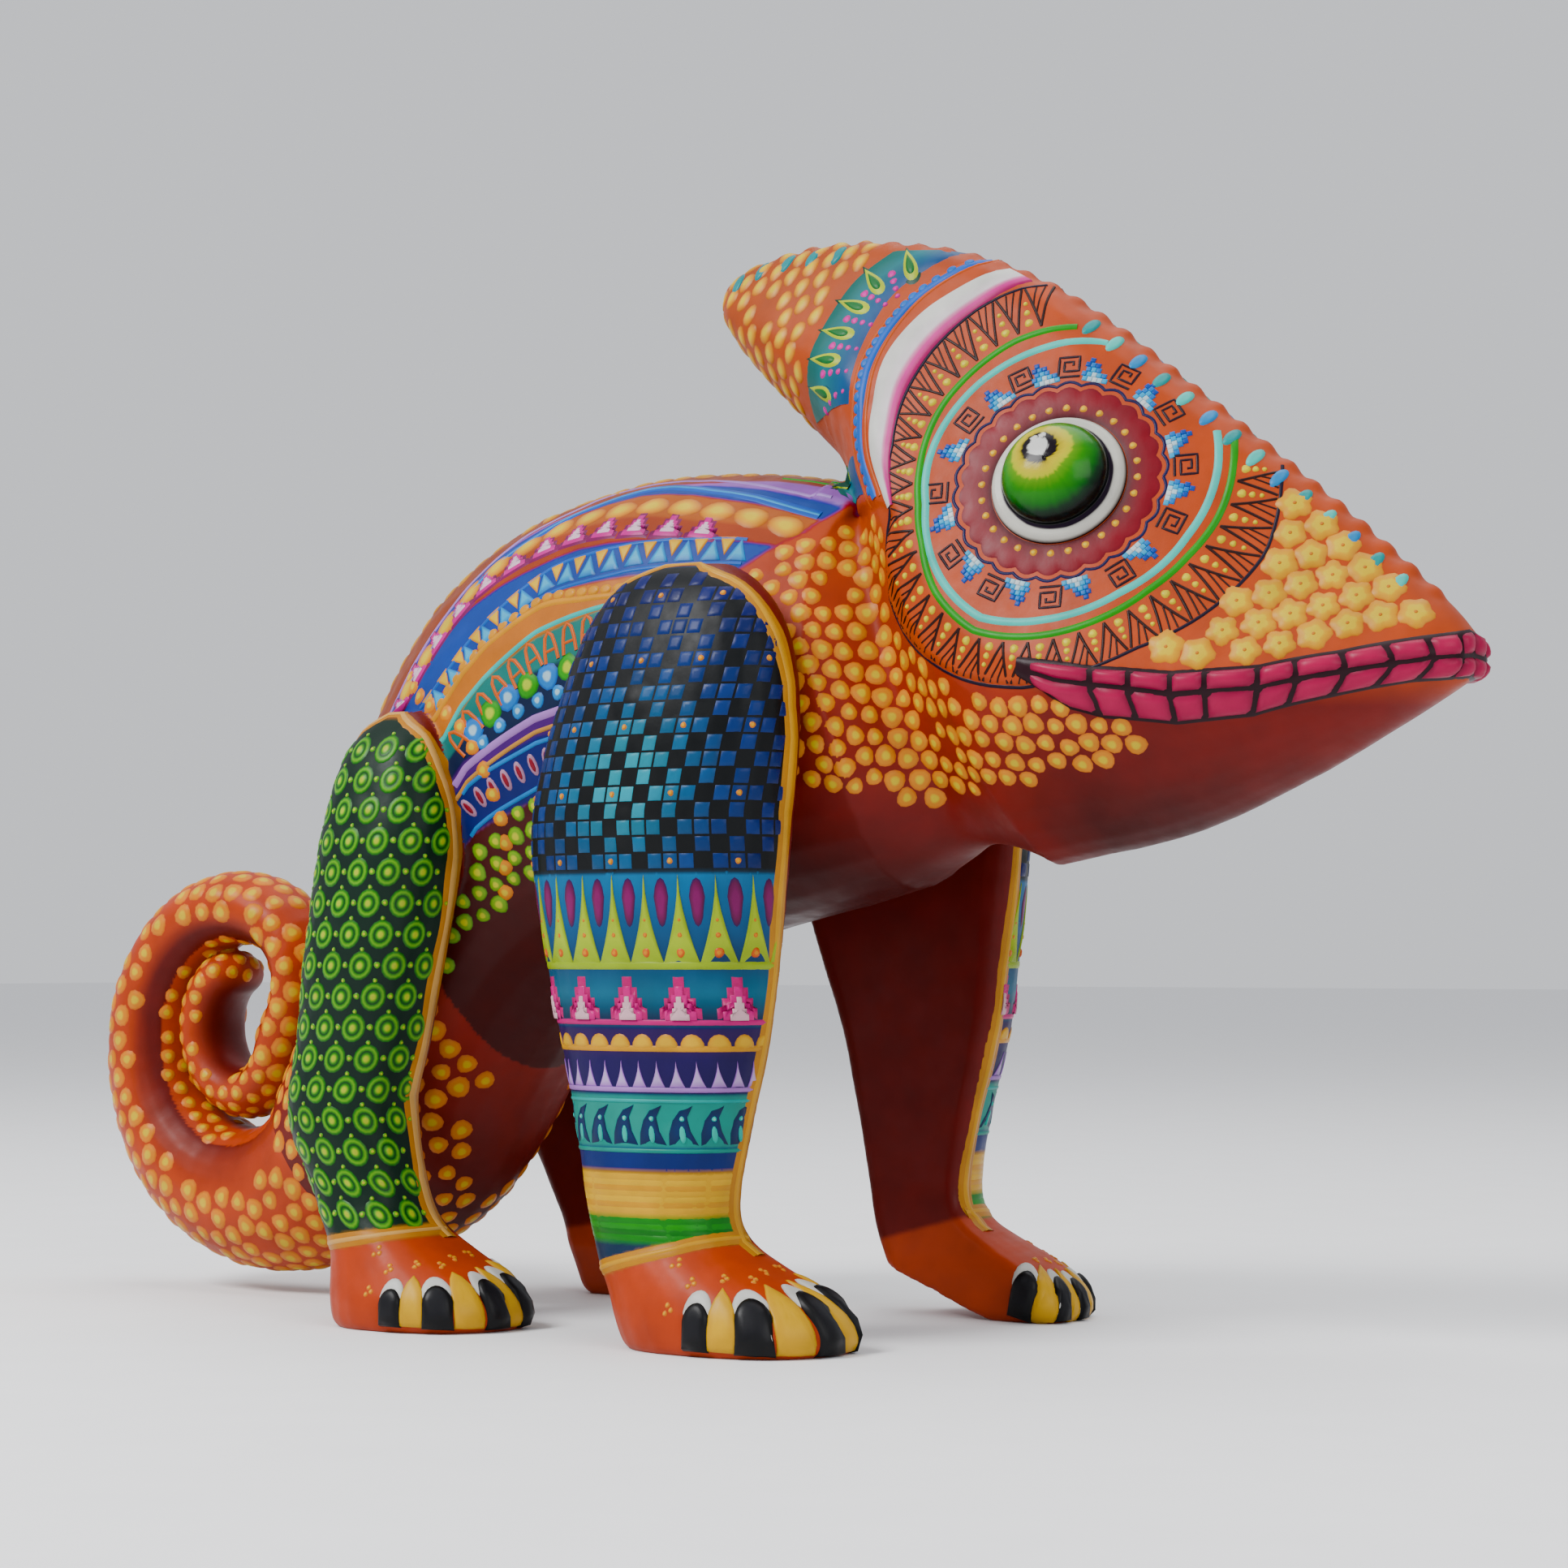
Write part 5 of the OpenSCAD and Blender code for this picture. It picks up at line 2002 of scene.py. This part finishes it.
def paint_spikes(paint, chart, place):
    """Lime spikes with orange dots, and maroon drops between them"""
    lime = shade("A9C812")
    for k in range(-7, 8):
        across = k * SPIKE_PITCH
        if in_leg(chart, across, 64, 2.5):
            patch(paint, place, scaled_spike(across, SPIKE_FOOT + 0.1, CHECKER_FOOT - 0.1, 3.2),
                  [(1.0, -0.03, shade("7A9A0A")), (0.92, 0.2, lime), (0.7, 0.26, lime),
                   (0.4, 0.28, shade("BCD820"))])
            for level, radius in ((63.6, 0.72), (66.4, 0.5), (68.8, 0.36)):
                if in_leg(chart, across, level, -0.6):
                    dot(paint, place(across, level), radius,
                        shades("C03808", "F06810", "F8A040"), 0.34)
        middle = across + SPIKE_PITCH / 2
        if in_leg(chart, middle, 70, -0.8):
            drop = [(middle + 1.25 * math.sin(t) * (1.0 if math.cos(t) > 0 else 0.8),
                     71.6 + 3.6 * math.cos(t)) for t in turns_round(14)]
            patch(paint, place, drop, [(1.15, -0.03, shade("0A2A5A")), (0.9, 0.12, shade("6B0F4E")),
                                       (0.45, 0.16, shade("8A2068"))])
    across_leg(paint, place, chart.border(SPIKE_FOOT - 0.1), SPIKE_FOOT, 1.3, lime, 0.18)


def paint_pyramids(paint, chart, place):
    """Stepped pink pyramids on a pink line"""
    for k in range(-3, 4):
        across = k * PYRAMID_PITCH + 2
        if not in_leg(chart, across, 56, 1.5):
            continue
        for half, rise, tone, height in PYRAMID_LAYERS:
            patch(paint, place, stepped(across, PINK_LINE + 0.4, half, 4, rise),
                  [(1.0, height - 0.2, tone), (0.92, height, tone), (0.65, height, tone),
                   (0.35, height, tone)])
    across_leg(paint, place, chart.border(PINK_LINE - 0.1), PINK_LINE, 0.9, shade("E0308A"))


def paint_fins(paint, chart, place):
    """Leaning fins with a small figure in each"""
    for k in range(-6, 7):
        across = k * 5.2
        if not in_leg(chart, across, 36, 1.0):
            continue
        fin = [(across - 2.5, 32.6), (across - 2.3, 34.6), (across - 1.5, 36.8), (across - 0.2, 38.4),
               (across + 2.1, 39.3), (across + 1.0, 37.3), (across + 1.4, 35), (across + 2.5, 32.6)]
        patch(paint, place, fin, [(1.0, -0.03, shade("0A3A60")), (0.88, 0.1, shade("0A2A58")),
                                  (0.4, 0.12, shade("0E3268"))])
        if in_leg(chart, across, 35, -0.8):
            patch(paint, place, oval(across, 34.5, 0.55, 1.5, 10), flat_dab(shade("5ED0C0"), 0.24))
            dot(paint, place(across + 0.1, 37.0), 0.42, shades("2A8A98", "5ED0C0", "B0F0E0"),
                0.3)


def paint_lower_bands(paint, chart, place):
    """Scallops, lilac spikes, fins with small figures, and brushed bands above the cuff"""
    for across in np.arange(-7, 8) * 4.4:
        if in_leg(chart, across, 49, 0.8):
            patch(paint, place, arch(across, SCALLOP_FOOT, 2.1, 2.3, 9) + [(across, SCALLOP_FOOT - 0.3)],
                  [(1.0, -0.03, shade("B87008")), (0.85, 0.14, GOLD), (0.4, 0.18, shade("FFC848"))])
    for level, width, colour in LEG_LINES:
        across_leg(paint, place, chart.border(level), level, width, colour)
    for across in np.arange(-9, 10) * 3.4:
        if in_leg(chart, across, 43, 0.2):
            patch(paint, place, scaled_spike(across, 41.9, 46.4, 1.4),
                  [(1.0, -0.03, shade("8A60B8")), (0.85, 0.12, LILAC), (0.4, 0.15, shade("E0C8F4"))])
    paint_fins(paint, chart, place)
    for top, foot, tones in LEG_BANDS:
        count = round((top - foot) / 0.85)
        for k in range(count):
            level = top + (foot - top) * (k + 0.5) / count
            across_leg(paint, place, chart.border(level), level, 1.05, tones[k % 3], 0.06, 1.8)


def paint_border(paint, chart, wide, thin, tones):
    """Brushed border up one edge of the outer face, over the top and down the other, and the cuff"""
    levels = [level for level in chart.levels if level >= BORDER_FOOT]
    up = [(chart.border(level)[0], level) for level in levels]
    down = [(chart.border(level)[1], level) for level in reversed(levels)]
    path = [chart.place(across, min(level, levels[-1] - 0.01)) for across, level in up + down]

    def width(share):
        even = np.interp(share, [0, 0.45, 0.55, 1], [thin, thin, wide, wide])
        return even * (1 + 0.12 * math.sin(share * 60))

    paint.stroke(path, width, tones[0], 0.2)
    paint.stroke(path, lambda share: width(share) * 0.45, tones[1], 0.32)
    cuff = []
    for across in np.linspace(*chart.border(BORDER_FOOT), 30):
        level = BORDER_FOOT
        for _ in range(3):
            spot = chart.place(across, level)
            if spot is None:
                break
            level = cuff_height(chart.end, spot[0][0]) + CUFF_WIDTH / 2
        cuff.append(spot)
    paint.stroke(cuff, 2.6, tones[0], 0.2)
    paint.stroke(cuff, 1.0, tones[1], 0.3)


def paint_front_leg(side_name):
    """Painted fields of a front leg, from the shoulder down"""
    chart = LegChart("front", side_name, 128)
    paint = Paint("paint_front_leg_" + side_name, "front_leg_paint")
    for paint_field in (paint_checker, paint_spikes, paint_pyramids, paint_lower_bands):
        paint_field(paint, chart, leg_place(chart))
    paint_border(paint, chart, 3.6, 1.9, (TAN, shade("F0C080")))
    paint.done()


def paint_hind_leg(side_name):
    """Green rings in staggered rows, with small dots between them"""
    chart = LegChart("hind", side_name, 106)
    place = leg_place(chart)
    paint = Paint("paint_hind_leg_" + side_name, "hind_leg_paint")
    for j in range(16):
        for i in range(-8, 9):
            level = 19 + j * RING_RISE
            across = i * RING_PITCH + (RING_PITCH / 2 if j % 2 else 0)
            if not in_leg(chart, across, level, -1.6):
                continue
            patch(paint, place, oval(across, level, 1, 1.12, 14), RING_LAYERS)
            for dx, dz, radius in ((2.95, 0.1, 0.5), (0, 2.75, 0.36)):
                if in_leg(chart, across + dx, level + dz, -1.0):
                    dot(paint, place(across + dx, level + dz), radius,
                        (DEEP_GREEN, shade("6AB830"), LIME_DOT), 0.2)
    paint_border(paint, chart, 3.8, 2.0, (shade("D89858"), shade("F4C894")))
    paint.done()


# ---------------------------------------------------------------- back

# Lines over the back from the neck to the rump: (place along the body, angle down from the ridge)
BACK_LINES = {
    "green": [(9.05, 11), (8.6, 12), (8, 13)],
    "blue": [(8.7, 31), (8.26, 30), (7.5, 26.5), (6.7, 23), (5.86, 29), (5.02, 40), (4.3, 54), (3.5, 63),
             (3.15, 66)],
    "pale": [(8.75, 27), (8.1, 26), (7.3, 23), (6.4, 22), (5.5, 31), (4.7, 43), (4, 55), (3, 64)],
    "glow": [(8.5, 39), (7.5, 36), (6.7, 34), (5.88, 34), (5.0, 41), (4.4, 52), (3.8, 60), (3, 68)],
    "pink": [(7.9, 46), (7.08, 45), (6.28, 42), (5.46, 43), (4.7, 49), (4.14, 58), (3.4, 68)],
    "zigzag": [(8.1, 51), (6.9, 54), (6.06, 55), (5.38, 62), (4.86, 70), (4.2, 76), (3.4, 82)],
    "gold": [(7.1, 67), (6.5, 65), (6.02, 63.5), (5.4, 67), (5.0, 73), (4.3, 82), (3.6, 90)],
    "aqua": [(6.9, 69), (6.36, 70), (5.88, 72.5), (5.34, 78), (4.9, 85), (4.3, 93)],
    "arch": [(6.7, 75), (6.3, 76.5), (5.8, 80), (5.36, 86), (4.9, 93)],
    "jewel": [(6.5, 85), (6.14, 86.5), (5.64, 88), (5.12, 93)],
    "lilac": [(6.6, 98), (6.14, 99), (5.56, 100.5), (5.08, 103), (4.6, 107)],
    "panel": [(6.5, 109), (6, 110), (5.3, 111), (4.9, 113)],
}
# Stepped lozenges on the pink line: size, colour, height
LOZENGES = [(4.4, shade("8A1060"), 0.12), (3.3, shade("E060A8"), 0.2), (1.9, shade("FFE0F0"), 0.28)]
DOWN_TOOTH = [(-2.0, -2.3), (2.0, -2.3), (0, 2.4)]
UP_TOOTH = [(-1.6, 2.0), (0, -2.1), (1.6, 2.0)]
ARCH = [(-1.4, -3.0), (-1.2, -0.4), (-0.8, 1.6), (0, 2.5), (0.8, 1.6), (1.2, -0.4), (1.4, -3.0)]
ARCH_BAR = [(-1.2, -0.9), (0, -0.9), (1.2, -0.9)]
JEWELS = [shades("0A5A20", "38B028", "D8F060"),
          shades("0A3AA0", "1E8AE8", "D0F0FF")]
# Chains of beads on the torso beside the legs: number of beads, line in x and z
BEAD_CHAINS = [(10, [(10, 124), (2, 116), (-4, 106), (-8, 97), (-11, 88)]),
               (13, [(-46, 112), (-40, 107.5), (-30, 103), (-24, 94), (-21.5, 84), (-24, 74)])]


OPEN_REACH = 2.4


def on_open_torso(place, normal):
    """Whether the skin round a place is all torso, with no step up to a leg or the head"""
    for way in surface_axes(normal, (1, 0, 0)):
        for spot in (place + way * OPEN_REACH, place - way * OPEN_REACH):
            point, _, face = skin.nearest(spot)
            if skin.owner[face] != "torso" or np.linalg.norm(point - spot) > OPEN_REACH / 2:
                return False
    return True


class Flank:
    """One side of the back: strokes along its lines, and places for dabs on them"""

    def __init__(self, paint, side):
        self.paint, self.side = paint, side

    def path(self, name, shift):
        """Places along a line, moved down by an angle"""
        return [body_place(along, angle + shift, self.side) for along, angle in curve(BACK_LINES[name], 70)]

    def line(self, name, width, colour, height=0.16, shift=0.0):
        self.paint.stroke(self.path(name, shift), width, colour, height)

    def walk(self, name, gap, start, shift=0.0):
        """Places at even distances along a line, with the direction there"""
        places = [p for p in self.path(name, shift) if p is not None]
        if len(places) < 3:
            return []
        points = np.array([p[0] for p in places])
        lengths = distances(points)
        found = []
        for at in np.arange(start, lengths[-1], gap):
            i = min(int(np.searchsorted(lengths, at, side="right")) - 1, len(points) - 2)
            if lengths[i + 1] - lengths[i] > 3 * gap:
                continue
            spot = [np.interp(at, lengths, points[:, k]) for k in range(3)]
            place, normal, face = skin.nearest(spot)
            if skin.owner[face] == "torso" and on_open_torso(place, normal):
                found.append(((place, normal), points[i + 1] - points[i]))
        return found

    def dabs(self, places, outline, layers):
        """The same dab at each place, its top to the ridge"""
        for spot, way in places:
            self.paint.blob(spot, way * self.side, outline, layers)


def paint_arches(paint, places):
    """Small orange arches, each with a bar"""
    for (point, normal), way in places:
        across, up = surface_axes(normal, way)
        up = up if up[2] > 0 else -up
        for line, width, height in ((ARCH, 0.75, 0.18), (ARCH_BAR, 0.55, 0.16)):
            paint.stroke([skin.nearest(point + across * x + up * y)[:2] for x, y in line], width,
                         shade("E8680C"), height)


def paint_back_side(side_name):
    """Lines, beads, stepped lozenges, arches and jewels along the bands of one flank"""
    paint = Paint("paint_back_" + side_name, "body_paint")
    flank = Flank(paint, SIDES[side_name])
    gold = shade("F0A010")
    flank.line("green", 0.7, GREEN)
    flank.line("blue", 2.2, shade("1060D0"))
    flank.line("blue", 0.7, shade("60B0F0"), 0.24)
    flank.line("pale", 0.8, shade("C8A8E8"), 0.14, -4)
    for spot, way in flank.walk("glow", 6.8, 1.5):
        paint.blob(spot, way, circle(2.9, 2.1, 16, 0.04),
                   [(1.25, -0.05, shade("A03A08")), (1.0, 0.12, shade("E88A10")), (0.62, 0.22, YOLK),
                    (0.35, 0.26, CREAM)])
    for place in flank.walk("pink", 6.8, 4.9, -1.5):
        for size, tone, height in LOZENGES:
            flank.dabs([place], stepped(0, -size * 0.62, size * 0.75, 4, size * 0.36),
                       [(1.0, height - 0.12, tone), (0.9, height, tone), (0.4, height + 0.02, tone)])
    for shift in (-4.2, 5.2):
        flank.line("zigzag", 0.8, shade("1C6AD0"), 0.14, shift)
    flank.dabs(flank.walk("zigzag", 4.8, 1.0), polygon(DOWN_TOOTH, 4),
               [(1.0, -0.03, shade("0A2A78")), (0.86, 0.12, shade("2A88D8")),
                (0.35, 0.16, shade("8AD0F4"))])
    flank.dabs(flank.walk("zigzag", 4.8, 3.4, -1.5), polygon(UP_TOOTH, 4),
               [(1.0, -0.03, shade("B04A08")), (0.85, 0.12, gold), (0.35, 0.16, shade("FFD050"))])
    flank.line("gold", 1.2, gold, 0.18)
    for spot, way in flank.walk("gold", 2.6, 0.6, -2.2):
        paint.blob(spot, way, circle(1.25, 0.95, 12), flat_dab(gold, 0.16))
    flank.line("aqua", 1.0, shade("50D0C8"), 0.18)
    paint_arches(paint, flank.walk("arch", 4.2, 1.2))
    for k, (spot, _) in enumerate(flank.walk("jewel", 4.6, 1.4)):
        dot(paint, spot, 2.0, JEWELS[k % 2], 0.26)
    for spot, _ in flank.walk("jewel", 4.6, 3.7, 6):
        dot(paint, spot, 1.15, shades("0A3AA0", "2A9AE8", "D0F0FF"), 0.24)
    flank.line("lilac", 1.4, LILAC, 0.18, -1.5)
    flank.line("lilac", 0.8, shade("E0B080"), 0.18, 2.4)
    for spot, way in flank.walk("panel", 3.2, 1.0):
        paint.blob(spot, way, circle(0.95, 2.1, 12), flat_dab(shade("C8A0B8"), 0.16))
        paint.blob(spot, way, circle(0.5, 1.5, 10), flat_dab(shade("A01430"), 0.22))
    for shift in (-5.2, 6.5):
        flank.line("panel", 0.8, shade("3A90E0"), 0.16, shift)
    paint.done()


def paint_leg_beads(side_name):
    """Chains of beads on the torso beside the legs"""
    side = SIDES[side_name]
    paint = Paint("paint_beads_" + side_name, "body_paint")
    for count, chain in BEAD_CHAINS:
        for x, z in curve(chain, count):
            hit = skin.ray((x, side * 60, z), (0, -side, 0))
            if hit is not None and skin.owner[hit[2]] == "torso":
                dot(paint, hit[:2], 1.25, GLOW)
    paint.done()


# ---------------------------------------------------------------- feet

# Place inside each foot that its claws are set out round, and how far it tips down at the toes
FEET = {
    "leg_front_right": ((31, 37.5, 2.2), 0),
    "leg_front_left": ((39, 37.5, 3.4), 12),
    "leg_hind_right": ((-33, 38, 2.2), 0),
    "leg_hind_left": ((-33, 38, 2.2), 0),
}
# Claws and the yellow wedges between them: compass angle outwards from straight ahead, half width
CLAWS = ((-80, 12), (-38, 12), (3, 9), (28, 8), (56, 10))
WEDGES = ((-59, 10.5), (-17, 10), (15.5, 6.5), (41, 8))
CLAW_TOPS = {"front": 33, "hind": 30}
CLAW_FOOT = -6.5
# Groups of three dots over the toes: compass angle, angle up, then the same from dot to dot
TOE_DOTS = ((-95, 42), (-60, 50), (-25, 48), (5, 55), (40, 50), (-110, 20), (-120, 50))
DOT_GROUP = ((0, 0), (5, 3), (1, 6))
CUTICLE_LAYERS = [(1.0, -0.03, shade("C8C4B8")), (0.9, 0.25, WHITE), (0.7, 0.35, WHITE), (0.5, 0.4, WHITE)]
CLAW_LAYERS = [(1.0, 0.0, BLACK), (0.88, 0.75, shade("141416")), (0.66, 0.95, shade("141416")),
               (0.4, 1.05, shade("1E1E22"))]
WEDGE_LAYERS = [(1.0, -0.03, shade("E89C00")), (0.93, 0.3, YELLOW), (0.8, 0.38, YELLOW),
                (0.62, 0.42, YELLOW), (0.42, 0.45, shade("FFC400")), (0.2, 0.45, shade("FFC400"))]


def foot_place(leg, side, turn, tip):
    """Skin of a foot seen from inside it: compass angle from straight ahead, angle up"""
    (x, y, z), pitch = FEET[leg]
    swing, rise, lean = math.radians(turn), math.radians(tip), math.radians(pitch)
    ahead, up = math.cos(swing) * math.cos(rise), math.sin(rise)
    ray = np.array([ahead * math.cos(lean) + up * math.sin(lean), -side * math.sin(swing) * math.cos(rise),
                    up * math.cos(lean) - ahead * math.sin(lean)])
    hit = skin.ray((x, side * y, z), ray, 60)
    return None if hit is None else hit[:2]


def wedge_outline(turn, half, top):
    """Outline of a yellow wedge, wide at the foot and pointed at the top"""
    side_line = [(half, CLAW_FOOT + 1), (half * 1.05, 10), (half * 0.98, 24), (half * 0.6, 34)]
    right = [(turn + out, tip) for out, tip in side_line]
    left = [(turn - out, tip) for out, tip in side_line]
    return polygon([left[0]] + right + [(turn, top)] + left[:0:-1])


def paint_foot(end, side_name):
    """Black claws with white cuticles, yellow wedges between them, and small dots above"""
    paint = Paint(f"paint_foot_{end}_{side_name}", end + "_leg_paint")

    def place(turn, tip):
        return foot_place(f"leg_{end}_{side_name}", SIDES[side_name], turn, tip)

    top = CLAW_TOPS[end]
    for turn, half in CLAWS:
        wide = half * 1.12
        cuticle = arch(turn, top - 10, wide, 18, 11)
        cuticle += [(turn - wide * 0.7, 2), (turn, 0), (turn + wide * 0.7, 2)]
        patch(paint, place, cuticle, CUTICLE_LAYERS)
        claw = arch(turn, top - 17, half, 15, 11)
        claw += [(turn + out, CLAW_FOOT) for out in (-half, 0, half)]
        patch(paint, place, claw, CLAW_LAYERS)
    for turn, half in WEDGES:
        patch(paint, place, wedge_outline(turn, half, top + 11), WEDGE_LAYERS)
    for turn, tip in TOE_DOTS:
        for turn_step, tip_step in DOT_GROUP:
            dot(paint, place(turn + turn_step, tip + tip_step), 0.42,
                shades("D85008", "F8901A", "FFC850"), 0.2)
    paint.done()


# ---------------------------------------------------------------- the whole figure

make_carved_pieces()
for side_name in SIDES:
    make_eye(side_name)
    paint_face(side_name)
    paint_front_leg(side_name)
    paint_hind_leg(side_name)
    paint_foot("front", side_name)
    paint_foot("hind", side_name)
    paint_back_side(side_name)
    paint_leg_beads(side_name)
paint_casque_ovals()
paint_clouds()
paint_neck_dots()
paint_tail_dots()
paint_rump_dots()
paint_flank_dots()
finish_hidden_parts()
make_floor()
make_lights()
make_camera()
